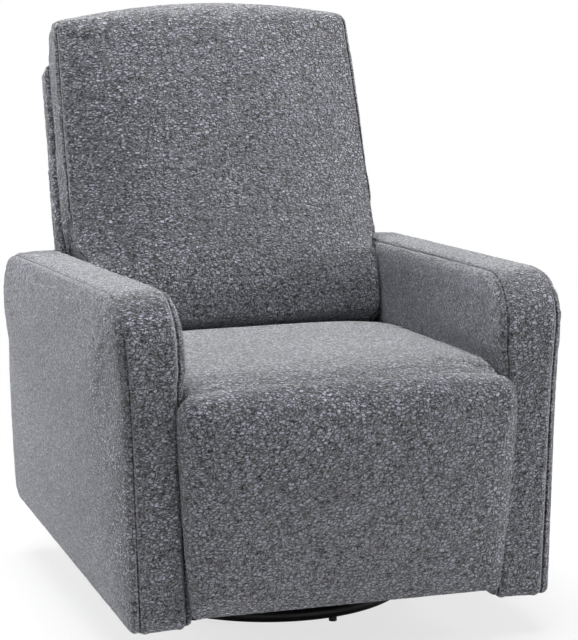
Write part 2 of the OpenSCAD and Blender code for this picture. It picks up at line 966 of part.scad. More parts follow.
// Seat cushion: side outlines at stations across the seat
top_steps = 12;
seat_shoulder = 12;
seat_round = 14;
seat_hem = 10;
seat_front_share = 0.55;
seat_round_share = 0.9;
function seat_edge_z(share) = mix(seat_top, seat_top - seat_fall, share);
function seat_rise(share) = pow(sin(180 * min(1, share * 0.9 + 0.02)), 0.7);
function seat_outline(station) =
    let (
        x = station * seat_half_w,
        shoulder = seat_shoulder * pow(abs(station), 10),
        crown = seat_crown * (1 - pow(abs(station), 3))
    )
    concat(
        [
            [x, hinge_y + roll_r * seat_front_share, seat_under],
            [x, seat_rear - seat_hem, seat_under],
            [x, seat_rear - over, seat_under + seat_hem]
        ],
        [
            for (k = [0 : top_steps])
                let (share = 1 - k / top_steps)
                [
                    x,
                    mix(hinge_y, seat_rear - seat_round * (1 - sin(share * 90)), share),
                    seat_edge_z(share) - shoulder + crown * seat_rise(share)
                        - seat_shoulder * ramp(share, seat_round_share, 1)
                ]
        ],
        [[x, hinge_y, seat_under + seat_hem / 2]]
    );

module seat_cushion() {
    station_shares = [-1, -0.985, -0.94, -0.85, -0.7, -0.5, -0.25, 0, 0.25, 0.5, 0.7, 0.85, 0.94, 0.985, 1];
    roll_gap = 0.5;
    color(fabric)
        difference() {
            loft([for (share = station_shares) seat_outline(share)]);
            translate([-arm_gap, hinge_y, hinge_z])
                rotate([0, 90, 0])
                    cylinder(h = 2 * arm_gap, r = roll_r + roll_gap, $fn = 96);
        }
}

// Leg rest

function rest_skin_y(z, station) = rest_front_y + rest_fall(z) - rest_bulge(z) * (1 - station * station);

// The leg rest's padding: a roll between the arms, and a lip on each side that lies before an arm
lip_y = arm_front_y - lip_gap;
lip_skin = 1;
lip_drop = 12;
lip_shoulder = 20;
lip_widest_z = hinge_z - lip_shoulder;
rest_side_gap = 3;
rest_side_x = arm_in_x - rest_side_gap;
board_half_w = rest_side_x - board_side_in;
rest_heel_r = 12;
lip_heel_r = 5;
rest_toe = 4;
roll_end = 172;
roll_steps = 10;
toe_share = 0.45;
lip_round_share = 0.02;
function rest_side(z) = mix(rest_w_low, rest_w_top, ramp(z, rest_bottom, lip_widest_z)) / 2 - rest_side_x;
function rest_loop(station, rear, low, heel_r, hem, top_c, top_r, from, step) = concat(
    [for (a = [-90 : 45 : 0]) [rear - heel_r + heel_r * cos(a), low + heel_r + heel_r * sin(a)]],
    [[rear, mix(low, top_c.y, 1 / 2)]],
    [for (k = [0 : roll_steps]) let (a = mix(from, roll_end, k / roll_steps)) top_c + top_r * [cos(a), sin(a)]],
    [
        for (k = [1 : front_steps])
            let (z = mix(top_c.y, rest_bottom + rest_hem, k / front_steps))
            [rest_skin_y(z, station) + step, z]
    ],
    [
        [rest_skin_y(rest_bottom, station) + rest_toe + step, low + rest_toe],
        [rest_skin_y(rest_bottom, station) + hem + step, low]
    ]
);

module rest_body() {
    inner_shares = [-1, -0.97, -0.85, -0.65, -0.35, 0, 0.35, 0.65, 0.85, 0.97, 1];
    from = -acos((board_y - hinge_y) / roll_r);
    loft([
        for (share = inner_shares)
            [
                for (p = rest_loop(share, board_y, rest_bottom, rest_heel_r, rest_hem, hinge, roll_r, from, 0))
                    [share * rest_side_x, p.x, p.y]
            ]
    ]);
}

module rest_lip(side) {
    lip_shares = [0, 0.3, 0.8, 1];
    seam = 0.2;
    top_r = (lip_y - rest_front_y - lip_skin) / 2;
    top_c = [rest_front_y + lip_skin + top_r, hinge_z - lip_drop - top_r];
    loop = rest_loop(1, lip_y, rest_bottom + lip_skin, lip_heel_r, rest_hem / 2, top_c, top_r, 0, lip_skin);
    on_side(side)
        loft([
            for (share = lip_shares)
                [
                    for (p = loop)
                        [
                            rest_side_x + mix(seam, rest_side(p.y), share),
                            share == 1 ? mix(p.x, lip_y, toe_share) : p.x,
                            share == 1 ? mix(p.y, hinge_z / 2, lip_round_share) : p.y
                        ]
                ]
        ]);
}

module leg_rest_pad() {
    color(fabric)
        union() {
            rest_body();
            rest_lip(-1);
            rest_lip(1);
        }
}

module leg_rest_board() {
    color(timber)
        translate([-board_half_w, board_y, board_low])
            cube([2 * board_half_w, board_t, board_top - board_low]);
}

module leg_rest_bracket(side) {
    rear = board_y + board_t;
    rim = 6;
    flange_w = 28;
    low = rod_rest_joint.y - link_w / 2 - rim;
    high = rest_joint.y + link_w / 2 + rim;
    color(steel)
        on_side(side) {
            plate_at(layer(5), steel_t)
                union() {
                    polygon([
                        [rear, low],
                        [rod_rest_joint.x, low + rim],
                        [rest_joint.x, high],
                        [rear, high]
                    ]);
                    link_2d(rest_joint, rod_rest_joint, link_w);
                }
            translate([layer(5) - flange_w, rear, low])
                cube([flange_w, steel_t, high - low]);
            for (joint = [rest_joint, rod_rest_joint]) {
                pin_at(layer(5), layer(3) - layer(5) - washer_t / 2, joint, rivet_d);
                pin_at(layer(3) - washer_t / 2, steel_t - washer_t, joint, rivet_head_d);
            }
        }
}

// Leg-rest linkage
journal_d = tube_w * 0.7;

module front_crank(side) {
    color(zinc)
        on_side(side) {
            plate_at(layer(3), steel_t)
                difference() {
                    link_2d(front_pivot, front_joint, link_w);
                    holes_2d([front_pivot], rivet_d + 2 * pin_clear);
                }
            rivet_at(layer(3) + steel_t, layer(4), front_joint);
        }
}

module rear_crank(side) {
    color(zinc)
        on_side(side) {
            plate_at(layer(3), steel_t)
                difference() {
                    link_2d(rear_pivot, rod_joint, link_w);
                    translate(rear_pivot)
                        circle(d = journal_d);
                }
            for (joint = [rear_joint, rod_joint])
                rivet_at(layer(3) + steel_t, layer(4), joint);
        }
}

module torque_tube() {
    journal = layer(2) + steel_t;
    color(steel)
        union() {
            translate([-layer(3), rear_pivot.x - tube_w / 2, rear_pivot.y - tube_w / 2])
                cube([2 * layer(3), tube_w, tube_w]);
            pin_at(-journal, 2 * journal, rear_pivot, journal_d);
        }
}

module carrier(side) {
    color(zinc)
        on_side(side)
            plate_at(layer(4), steel_t)
                difference() {
                    link_2d(rear_joint, rest_joint, link_w);
                    holes_2d([rear_joint, front_joint, rest_joint], rivet_d + 2 * pin_clear);
                }
}

module rod(side) {
    color(zinc)
        on_side(side)
            plate_at(layer(4), steel_t)
                difference() {
                    link_2d(rod_joint, rod_rest_joint, link_w);
                    holes_2d([rod_joint, rod_rest_joint], rivet_d + 2 * pin_clear);
                }
}

// Back

module in_back() {
    translate([0, back_pivot.x, back_pivot.y])
        rotate([-back_tilt, 0, 0])
            children();
}

function in_back_point(p) = let (d = p - back_pivot)
    [d.x * cos(back_tilt) - d.y * sin(back_tilt), d.x * sin(back_tilt) + d.y * cos(back_tilt)];

module back_bracket(side) {
    pin = in_back_point(seat_pin);
    middle = back_pad_rear + frame_gap + back_bar_d / 2;
    bar_w = 30;
    bar_top = 180;
    tab_low = 60;
    tab_w = 24;
    tab_h = 120;
    tab_in = 2;
    color(steel)
        on_side(side)
            in_back() {
                plate_at(layer(1), steel_t)
                    difference() {
                        union() {
                            link_2d([0, 0], pin, bar_w);
                            link_2d([0, 0], [middle, bar_top], bar_w);
                        }
                        circle(d = glide_pin_d + 2 * pin_clear);
                        translate(pin)
                            circle(d = glide_pin_d);
                    }
                translate([back_tail_half_w - tab_in, middle - tab_w / 2, tab_low])
                    cube([layer(1) - back_tail_half_w + tab_in, tab_w, tab_h]);
            }
}

module back_pins() {
    color(zinc)
        both_sides() {
            pin_at(layer(3), layer(1) + steel_t - layer(3), seat_pin, glide_pin_d);
            pin_at(layer(3), steel_t - washer_t / 2, seat_pin, pin_head_d);
        }
}

module back_frame() {
    bar = 40;
    low = -60;
    top_gap = 4;
    side_gap = 2;
    high = shell_len - shell_arch - shell_t - top_gap;
    half = back_tail_half_w - side_gap;
    depth_y = back_pad_rear + frame_gap;
    window = (high - low - 3 * bar) / 2;
    color(timber)
        in_back()
            difference() {
                translate([-half, depth_y, low])
                    cube([2 * half, back_bar_d, high - low]);
                for (start = [low + bar, high - bar - window])
                    translate([-half + bar, depth_y - over, start])
                        cube([2 * (half - bar), back_bar_d + 2 * over, window]);
            }
}

module back_webbing() {
    strap_w = 50;
    strap_t = 2;
    strap_count = 6;
    strap_in = 6;
    half = back_tail_half_w - strap_in;
    low = -20;
    high = shell_len - strap_w - shell_t - 4 * strap_in;
    color(web)
        in_back()
            for (i = [0 : strap_count - 1])
                translate([-half, back_pad_rear + end_play, mix(low, high, i / (strap_count - 1))])
                    cube([2 * half, strap_t, strap_w]);
}

// Half width of the back at a height along it
function back_width(t) =
    mix(
        mix(back_tail_half_w, back_low_half_w, soft(ramp(t, widen_low, widen_high))),
        mix(back_half_w, back_half_w - back_taper, ramp(t, taper_low, taper_high)),
        soft(ramp(t, bulge_low, bulge_high))
    );

// Heights of an outline's rows, from the back's tail up to a top
function rows_to(top, low) = concat(
    [for (t = back_rows) if (t > low) t],
    [for (k = [1 : upper_rows]) mix(bulge_high, top, k / upper_rows)]
);

function pad_crown(share, t) = soft(ramp(t, crown_low, crown_high)) * (base_share + (1 - base_share) * sin(150 * share));
function back_pad_outline(station) =
    let (
        side = abs(station),
        top = back_len - back_arch * pow(side, 2.2),
        crown = back_crown * (1 - pow(side, 2.4)),
        corner_z = top - pad_corner,
        seam = pad_seam * pow(side, 8),
        rows = rows_to(corner_z, pad_low + pad_hem),
        count = len(rows)
    )
    [
        for (p = concat(
            [[back_pad_rear - pad_hem, pad_low]],
            [for (t = rows) [back_pad_rear, t]],
            [
                for (a = [30 : 30 : 90])
                    [back_pad_rear - pad_corner * corner_share * (1 - cos(a)), corner_z + pad_corner * sin(a)]
            ],
            [
                for (a = [0 : 30 : 90])
                    [
                        back_front + pad_corner * front_share * (1 - sin(a)) - crown * base_share * sin(a),
                        corner_z + pad_corner * cos(a)
                    ]
            ],
            [
                for (k = [count - 2 : -1 : 0])
                    let (share = 1 - (rows[k] - pad_low) / (corner_z - pad_low))
                    [back_front + seam - crown * pad_crown(share, rows[k]), rows[k]]
            ],
            [[back_front + pad_hem, pad_low]]
        ))
            [station * back_width(p.y), p.x, p.y]
    ];

// A ring whose points are drawn towards the middle of the back's depth
function drawn_in(ring, middle, share) = [for (p = ring) [p.x, mix(p.y, middle, share), p.z]];

module back_cushion() {
    station_shares = [-1, -0.985, -0.94, -0.86, -0.72, -0.5, -0.25, 0, 0.25, 0.5, 0.72, 0.86, 0.94, 0.985, 1];
    pull_share = 0.12;
    middle = (back_front + back_pad_rear) / 2;
    color(fabric)
        in_back()
            loft([
                for (share = station_shares)
                    drawn_in(back_pad_outline(share), middle, abs(share) == 1 ? pull_share : 0)
            ], strips = true);
}

function shell_outline(station) =
    let (
        side = abs(station),
        top = shell_len - shell_arch * side * side,
        crown = shell_crown * (1 - side * side),
        corner_z = top - shell_corner,
        rows = rows_to(corner_z, tail_low - over),
        count = len(rows)
    )
    [
        for (p = concat(
            [
                for (t = rows)
                    [shell_rear + crown * sin(180 * (t - tail_low) / (corner_z - tail_low)), t]
            ],
            [for (a = [30 : 30 : 90]) [shell_rear - shell_corner * (1 - cos(a)), corner_z + shell_corner * sin(a)]],
            [[back_pad_rear + end_play, top]],
            [for (k = [count - 2 : -1 : 0]) [back_pad_rear + end_play, rows[k]]]
        ))
            [station * (back_width(p.y) - shell_side_gap), p.x, p.y]
    ];

module outside_back() {
    station_shares = [-1, -0.98, -0.92, -0.75, -0.4, 0, 0.4, 0.75, 0.92, 0.98, 1];
    pull_share = 0.18;
    middle = (shell_rear + back_pad_rear) / 2;
    tail_gap = 1.5;
    inner_half = back_low_half_w - shell_t;
    inner_low = widen_low - shell_arch;
    inner_d = shell_rear - shell_t - back_pad_rear + over;
    tail_half = back_tail_half_w - tail_gap;
    color(fabric_light)
        in_back()
            difference() {
                loft([
                    for (share = station_shares)
                        drawn_in(shell_outline(share), middle, abs(share) == 1 ? pull_share : 0)
                ], strips = true);
                translate([-inner_half, back_pad_rear - over, inner_low])
                    cube([2 * inner_half, inner_d, shell_len - shell_arch - shell_t - inner_low]);
                translate([-tail_half, back_pad_rear - over, tail_low - over])
                    cube([2 * tail_half, inner_d, inner_low - tail_low + 2 * over]);
            }
}

base_ring();
base_cross();
base_glides();
lower_race();
swivel_bolt();
ball_cage();
bearing_balls();
upper_race();
glide_channels();
glide_stand(-1);  // glide_stand_left
glide_stand(1);  // glide_stand_right
glide_top_pins();
glide_link_bar(-1, -1);  // glide_link_front_left
glide_link_bar(1, -1);  // glide_link_front_right
glide_link_bar(-1, 1);  // glide_link_rear_left
glide_link_bar(1, 1);  // glide_link_rear_right
cross_rails();
glide_hangers();
chassis_plate(-1);  // chassis_plate_left
chassis_plate(1);  // chassis_plate_right
glide_low_pins();
recline_pins();
arm_bolts();
arm_frame(-1);  // arm_frame_left
arm_frame(1);  // arm_frame_right
arm_pad_solid(-1);  // arm_left
arm_pad_solid(1);  // arm_right
rear_panel();
seat_plate(-1);  // seat_plate_left
seat_plate(1);  // seat_plate_right
seat_rollers();
crank_rivets();
seat_spacers();
seat_frame();
seat_springs();
seat_cushion();
back_bracket(-1);  // back_bracket_left
back_bracket(1);  // back_bracket_right
back_pins();
back_frame();
back_webbing();
back_cushion();
outside_back();
torque_tube();
rear_crank(-1);  // rear_crank_left
rear_crank(1);  // rear_crank_right
front_crank(-1);  // front_crank_left
front_crank(1);  // front_crank_right
carrier(-1);  // carrier_left
carrier(1);  // carrier_right
rod(-1);  // rod_left
rod(1);  // rod_right
leg_rest_bracket(-1);  // leg_rest_bracket_left
leg_rest_bracket(1);  // leg_rest_bracket_right
leg_rest_board();
leg_rest_pad();
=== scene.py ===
import math

import bpy
import numpy as np
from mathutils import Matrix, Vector


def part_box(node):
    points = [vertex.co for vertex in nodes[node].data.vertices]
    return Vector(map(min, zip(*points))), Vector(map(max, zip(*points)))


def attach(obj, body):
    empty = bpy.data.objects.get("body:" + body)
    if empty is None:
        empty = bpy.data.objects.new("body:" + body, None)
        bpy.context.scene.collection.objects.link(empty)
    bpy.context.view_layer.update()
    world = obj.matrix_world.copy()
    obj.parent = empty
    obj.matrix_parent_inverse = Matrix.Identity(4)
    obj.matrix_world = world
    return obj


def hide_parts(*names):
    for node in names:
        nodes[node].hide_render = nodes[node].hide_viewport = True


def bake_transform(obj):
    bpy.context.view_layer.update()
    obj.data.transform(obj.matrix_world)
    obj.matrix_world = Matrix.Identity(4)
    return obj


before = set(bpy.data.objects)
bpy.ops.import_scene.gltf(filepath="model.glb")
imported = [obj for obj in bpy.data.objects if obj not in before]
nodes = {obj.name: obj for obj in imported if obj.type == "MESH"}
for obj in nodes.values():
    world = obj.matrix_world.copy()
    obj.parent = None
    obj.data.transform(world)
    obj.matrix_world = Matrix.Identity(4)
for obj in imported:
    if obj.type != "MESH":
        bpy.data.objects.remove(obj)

scene = bpy.context.scene
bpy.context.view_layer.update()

# The camera stands at the photograph's place: in front, to the left and a little above the back's middle.
# Its lens follows from the fitted picture, where 2760.8 pixels make one focal length over 640 rows.
photo_rows = 640
focal_rows = 2760.8
axis_drop_rows = 8
camera_yaw = 0.326
camera_pitch = 0.196
camera = bpy.data.objects.new("camera", bpy.data.cameras.new("camera"))
scene.collection.objects.link(camera)
camera.location = (-1.4955, -4.5475, 1.4230)
camera.rotation_euler = (math.pi / 2 - camera_pitch, 0, -camera_yaw)
camera.data.sensor_width = 36
camera.data.lens = 36 * focal_rows / photo_rows
camera.data.shift_y = axis_drop_rows / photo_rows
scene.camera = camera


# Round base: a bent tube ring welded to a cross of flat bars, powder coated in satin black,
# on six moulded glides. The coat is a little uneven and dusty.
def surface(name):
    made = bpy.data.materials.new(name)
    made.use_nodes = True
    tree = made.node_tree
    return made, tree, tree.nodes["Principled BSDF"]


def wire_up(tree, pairs):
    for source, target in pairs:
        tree.links.new(source, target)


def mottled(name, dark, light, spot, metallic, roughness, rough_spread, bump, **sockets):
    """A hard finish whose colour, gloss and surface vary with a fine and a coarse grain."""
    made, tree, shader = surface(name)
    place = tree.nodes.new("ShaderNodeTexCoord")
    coarse = tree.nodes.new("ShaderNodeTexNoise")
    coarse.inputs["Scale"].default_value = 1 / spot
    coarse.inputs["Detail"].default_value = 4
    fine = tree.nodes.new("ShaderNodeTexNoise")
    fine.inputs["Scale"].default_value = 12 / spot
    fine.inputs["Detail"].default_value = 2
    tint = tree.nodes.new("ShaderNodeMix")
    tint.data_type = "RGBA"
    tint.inputs[6].default_value = (*dark, 1)
    tint.inputs[7].default_value = (*light, 1)
    gloss = tree.nodes.new("ShaderNodeMapRange")
    gloss.inputs["To Min"].default_value = roughness - rough_spread
    gloss.inputs["To Max"].default_value = roughness + rough_spread
    relief = tree.nodes.new("ShaderNodeBump")
    relief.inputs["Strength"].default_value = 0.4
    relief.inputs["Distance"].default_value = bump
    wire_up(tree, [
        (place.outputs["Object"], coarse.inputs["Vector"]),
        (place.outputs["Object"], fine.inputs["Vector"]),
        (coarse.outputs["Fac"], tint.inputs[0]),
        (tint.outputs[2], shader.inputs["Base Color"]),
        (coarse.outputs["Fac"], gloss.inputs["Value"]),
        (gloss.outputs["Result"], shader.inputs["Roughness"]),
        (fine.outputs["Fac"], relief.inputs["Height"]),
        (relief.outputs["Normal"], shader.inputs["Normal"]),
    ])
    shader.inputs["Metallic"].default_value = metallic
    for socket, value in sockets.items():
        shader.inputs[socket.replace("_", " ")].default_value = value
    return made


def finish_nodes(material, *names):
    for name in names:
        for slot in nodes[name].material_slots:
            slot.material = material


satin_black = mottled(
    "satin_black_coat", (0.006, 0.006, 0.007), (0.014, 0.014, 0.015), 0.03, 0.0, 0.42, 0.07, 0.0002,
    Specular_IOR_Level=0.3)
finish_nodes(satin_black, "base_ring", "base_cross")
glide_plastic = mottled(
    "moulded_glide", (0.010, 0.010, 0.011), (0.022, 0.022, 0.024), 0.01, 0.0, 0.55, 0.08, 0.0003)
finish_nodes(glide_plastic, "base_glides")

# Swivel bearing: two pressed steel plates with zinc plate, each with a race for polished balls in a brass cage.
# One bolt with a nut holds the plates together; the lower one is bolted to the base's cross.
zinc_plate = mottled(
    "zinc_plate", (0.42, 0.43, 0.44), (0.62, 0.62, 0.60), 0.015, 1.0, 0.36, 0.10, 0.0002)
cage_brass = mottled(
    "cage_brass", (0.46, 0.33, 0.12), (0.66, 0.50, 0.22), 0.02, 1.0, 0.32, 0.08, 0.0001)
ball_steel = mottled(
    "ball_steel", (0.58, 0.59, 0.60), (0.72, 0.72, 0.72), 0.02, 1.0, 0.12, 0.05, 0.00005)
finish_nodes(zinc_plate, "lower_race", "upper_race", "swivel_bolt")
finish_nodes(cage_brass, "ball_cage")
finish_nodes(ball_steel, "bearing_balls")

# Glide: two channels and two stands of black steel on the turntable carry four zinc-plated links.
# The links hang on shouldered pins and carry the chassis at their lower ends.
mechanism_black = mottled(
    "mechanism_black", (0.020, 0.021, 0.023), (0.048, 0.049, 0.052), 0.04, 0.0, 0.42, 0.09, 0.0002)
finish_nodes(mechanism_black, "glide_channels", "glide_stand_left", "glide_stand_right")
finish_nodes(
    zinc_plate, "glide_link_front_left", "glide_link_front_right", "glide_link_rear_left",
    "glide_link_rear_right", "glide_top_pins", "glide_low_pins")

# Chassis: black steel side plates on two tube rails, with hangers for the glide links welded under them.
# Plated pins carry the back, and plated bolts hold the arms.
finish_nodes(mechanism_black, "cross_rails", "glide_hangers", "chassis_plate_left", "chassis_plate_right")
finish_nodes(zinc_plate, "recline_pins", "arm_bolts")


# Arm frames: planed softwood cut from thick board, with its grain along the arm, bolted to the chassis.
# The seat's frame is of the same wood. Both are hidden once the chair is covered.
def planed_wood(name, along):
    made, tree, shader = surface(name)
    place = tree.nodes.new("ShaderNodeTexCoord")
    stretch = tree.nodes.new("ShaderNodeMapping")
    stretch.inputs["Scale"].default_value = along
    rings = tree.nodes.new("ShaderNodeTexNoise")
    rings.inputs["Scale"].default_value = 60
    rings.inputs["Detail"].default_value = 6
    rings.inputs["Distortion"].default_value = 0.6
    tones = tree.nodes.new("ShaderNodeValToRGB")
    tones.color_ramp.elements[0].position = 0.35
    tones.color_ramp.elements[0].color = (0.36, 0.22, 0.11, 1)
    tones.color_ramp.elements[1].position = 0.62
    tones.color_ramp.elements[1].color = (0.62, 0.43, 0.25, 1)
    relief = tree.nodes.new("ShaderNodeBump")
    relief.inputs["Strength"].default_value = 0.3
    relief.inputs["Distance"].default_value = 0.0005
    wire_up(tree, [
        (place.outputs["Object"], stretch.inputs["Vector"]),
        (stretch.outputs["Vector"], rings.inputs["Vector"]),
        (rings.outputs["Fac"], tones.inputs["Fac"]),
        (tones.outputs["Color"], shader.inputs["Base Color"]),
        (rings.outputs["Fac"], relief.inputs["Height"]),
        (relief.outputs["Normal"], shader.inputs["Normal"]),
    ])
    shader.inputs["Roughness"].default_value = 0.62
    return made


wood_lengthwise = planed_wood("planed_wood_lengthwise", (1, 0.06, 1))
finish_nodes(wood_lengthwise, "arm_frame_left", "arm_frame_right", "seat_frame")


# Arms: timber padded with foam and covered in curly grey sherpa. An outer and an inner panel wrap the long
# edges and are sewn to a band that runs over the front, top and rear. Both seams pull the foam in.
def sherpa(name, painted_shade_factor):
    """Curly pile: short worm-like curls, painted lighter on their tops as light and darker between them as shade, and
    pressed flat along each seam, where the colour is painted darker as shade in the groove.
    """
    curls_per_metre, bends_per_metre, worms_per_metre = 195, 140, 165
    grains_per_metre, clumps_per_metre, drifts_per_metre = 420, 60, 9
    curl_bend = 0.0075
    curl_part, grain_part = 0.76, 0.24
    # The darkest grey is painted shade between the curls, and the lightest is painted light on their tops.
    shaded_hollow_grey = (0.022, 0.022, 0.026)
    curl_grey = (0.203, 0.211, 0.265)
    lit_tip_grey = (0.575, 0.60, 0.72)
    seam_groove_shade = 0.34
    pile_depth = 0.009
    made, tree, shader = surface(name)
    new = tree.nodes.new

    # The factor darkens a whole copy of the sherpa: painted shade for a surface that gets less light.
    def shaded(grey):
        return (*(part * painted_shade_factor for part in grey), 1)

    def noise(scale, detail, rough, bend, where=None):
        node = new("ShaderNodeTexNoise")
        node.inputs["Scale"].default_value = scale
        node.inputs["Detail"].default_value = detail
        node.inputs["Roughness"].default_value = rough
        node.inputs["Distortion"].default_value = bend
        tree.links.new((where or place).outputs["Vector"], node.inputs["Vector"])
        return node.outputs["Fac"]

    def sum_of(kind, a, b):
        node = new("ShaderNodeMath")
        node.operation = kind
        for socket, value in zip(node.inputs, (a, b)):
            if isinstance(value, (int, float)):
                socket.default_value = value
            else:
                tree.links.new(value, socket)
        return node.outputs[0]

    def ranged(value, low, high, to_low, to_high, smooth=False):
        node = new("ShaderNodeMapRange")
        node.interpolation_type = "SMOOTHSTEP" if smooth else "LINEAR"
        for socket, number in zip(("From Min", "From Max", "To Min", "To Max"), (low, high, to_low, to_high)):
            node.inputs[socket].default_value = number
        tree.links.new(value, node.inputs["Value"])
        return node.outputs["Result"]

    place = new("ShaderNodeAttribute")
    place.attribute_name = "nap"
    seam = new("ShaderNodeAttribute")
    seam.attribute_name = "seam"
    flat = new("ShaderNodeMapping")
    flat.inputs["Scale"].default_value = (0.62, 1.15, 1.0)
    bend = new("ShaderNodeTexNoise")
    bend.inputs["Scale"].default_value = bends_per_metre
    bend.inputs["Detail"].default_value = 2
    apart = new("ShaderNodeVectorMath")
    apart.operation = "MULTIPLY_ADD"
    apart.inputs[1].default_value = (curl_bend, curl_bend, curl_bend)
    curls = new("ShaderNodeTexVoronoi")
    curls.feature = "DISTANCE_TO_EDGE"
    curls.inputs["Scale"].default_value = curls_per_metre
    wire_up(tree, [
        (place.outputs["Vector"], flat.inputs["Vector"]),
        (flat.outputs["Vector"], bend.inputs["Vector"]),
        (bend.outputs["Color"], apart.inputs[0]),
        (flat.outputs["Vector"], apart.inputs[2]),
        (apart.outputs["Vector"], curls.inputs["Vector"]),
    ])
    rise = ranged(curls.outputs["Distance"], 0.01, 0.21, 0.0, 1.0)
    worm = sum_of("ABSOLUTE", sum_of("SUBTRACT", noise(worms_per_metre, 1.0, 0.5, 0.8, flat), 0.5), 0)
    worm = ranged(worm, 0.0, 0.085, 0.0, 1.0)
    grain = ranged(noise(grains_per_metre, 2.0, 0.6, 0.6), 0.28, 0.72, 0.0, 1.0)
    curl = sum_of("MULTIPLY", sum_of("MINIMUM", rise, worm), curl_part)
    curl = sum_of("ADD", curl, sum_of("MULTIPLY", grain, grain_part))
    clump = ranged(noise(clumps_per_metre, 2.0, 0.5, 0.2), 0.3, 0.7, -0.03, 0.03)
    height = sum_of("ADD", curl, clump)
    drift = ranged(noise(drifts_per_metre, 2.0, 0.5, 0.0), 0.3, 0.7, 0.92, 1.08)
    away = ranged(sum_of("ABSOLUTE", seam.outputs["Fac"], 0), 0.0008, 0.0042, 0.0, 1.0, True)
    tones = new("ShaderNodeValToRGB")
    ramp = tones.color_ramp
    # Colour by curl height: painted shade in the hollows between curls, painted light on their tips, and the cloth's
    # own grey between them.
    ramp.elements[0].position = 0.22
    ramp.elements[0].color = shaded(shaded_hollow_grey)
    ramp.elements[1].position = 0.85
    ramp.elements[1].color = shaded(lit_tip_grey)
    middle = ramp.elements.new(0.52)
    middle.color = shaded(curl_grey)
    tree.links.new(height, tones.inputs["Fac"])
    dimmed = new("ShaderNodeMix")
    dimmed.data_type = "RGBA"
    dimmed.blend_type = "MULTIPLY"
    dimmed.inputs[0].default_value = 1
    tree.links.new(tones.outputs["Color"], dimmed.inputs[6])
    # Near a seam the colour falls to 0.34 of itself, which is painted shade in the seam's groove; the bump is flattened
    # there too.
    tree.links.new(sum_of("MULTIPLY", drift, ranged(away, 0.0, 1.0, seam_groove_shade, 1.0)), dimmed.inputs[7])
    relief = new("ShaderNodeBump")
    relief.inputs["Strength"].default_value = 1.0
    relief.inputs["Distance"].default_value = pile_depth
    tree.links.new(sum_of("MULTIPLY", sum_of("ADD", height, 0.5), away), relief.inputs["Height"])
    wire_up(tree, [
        (dimmed.outputs[2], shader.inputs["Base Color"]),
        (relief.outputs["Normal"], shader.inputs["Normal"]),
    ])
    shader.inputs["Roughness"].default_value = 0.92
    shader.inputs["Specular IOR Level"].default_value = 0.15
    shader.inputs["Sheen Weight"].default_value = 0.7
    shader.inputs["Sheen Roughness"].default_value = 0.35
    return made


def lofted(rings):
    """Points and faces of a closed form through rings of equal count, its two ends closed by fans."""
    count = len(rings[0])
    last = len(rings) - 1
    points = [p for ring in rings for p in ring]
    faces = []
    for i in range(last):
        for j in range(count):
            k = (j + 1) % count
            faces.append((i * count + j, i * count + k, (i + 1) * count + k, (i + 1) * count + j))
    for ring, turn in ((0, -1), (last, 1)):
        points.append(np.mean(np.array(rings[ring]), axis=0))
        for j in range(count):
            edge = (ring * count + j, ring * count + (j + 1) % count)
            faces.append((*edge[::turn], len(points) - 1))
    return points, faces


def object_of(name, forms):
    """One mesh object of several closed forms, each turned outwards."""
    points, faces = [], []
    for some_points, some_faces in forms:
        places = np.array([list(p) for p in some_points])
        volume = 0
        for face in some_faces:
            for k in range(1, len(face) - 1):
                volume += np.dot(places[face[0]], np.cross(places[face[k]], places[face[k + 1]]))
        start = len(points)
        points.extend(places.tolist())
        faces.extend([tuple(start + i for i in (face if volume > 0 else face[::-1])) for face in some_faces])
    mesh = bpy.data.meshes.new(name)
    mesh.from_pydata(points, [], faces)
    made = bpy.data.objects.new(name, mesh)
    scene.collection.objects.link(made)
    return made


def made_plain(piece):
    """Replaces the piece's mesh by what its modifiers make of it."""
    graph = bpy.context.evaluated_depsgraph_get()
    mesh = bpy.data.meshes.new_from_object(piece.evaluated_get(graph))
    piece.modifiers.clear()
    piece.data = mesh


def places_of(mesh):
    flat = np.empty(len(mesh.vertices) * 3, np.float32)
    mesh.vertices.foreach_get("co", flat)
    return flat.reshape(-1, 3).astype(float)


def put_places(mesh, places):
    mesh.vertices.foreach_set("co", places.astype(np.float32).ravel())
    mesh.update()


def normals_of(mesh):
    flat = np.empty(len(mesh.vertices) * 3, np.float32)
    mesh.vertex_normals.foreach_get("vector", flat)
    return flat.reshape(-1, 3).astype(float)


def meshed(piece, voxel):
    even = piece.modifiers.new("even_mesh", "REMESH")
    even.mode = "VOXEL"
    even.voxel_size = voxel
    even.use_smooth_shade = True
    made_plain(piece)


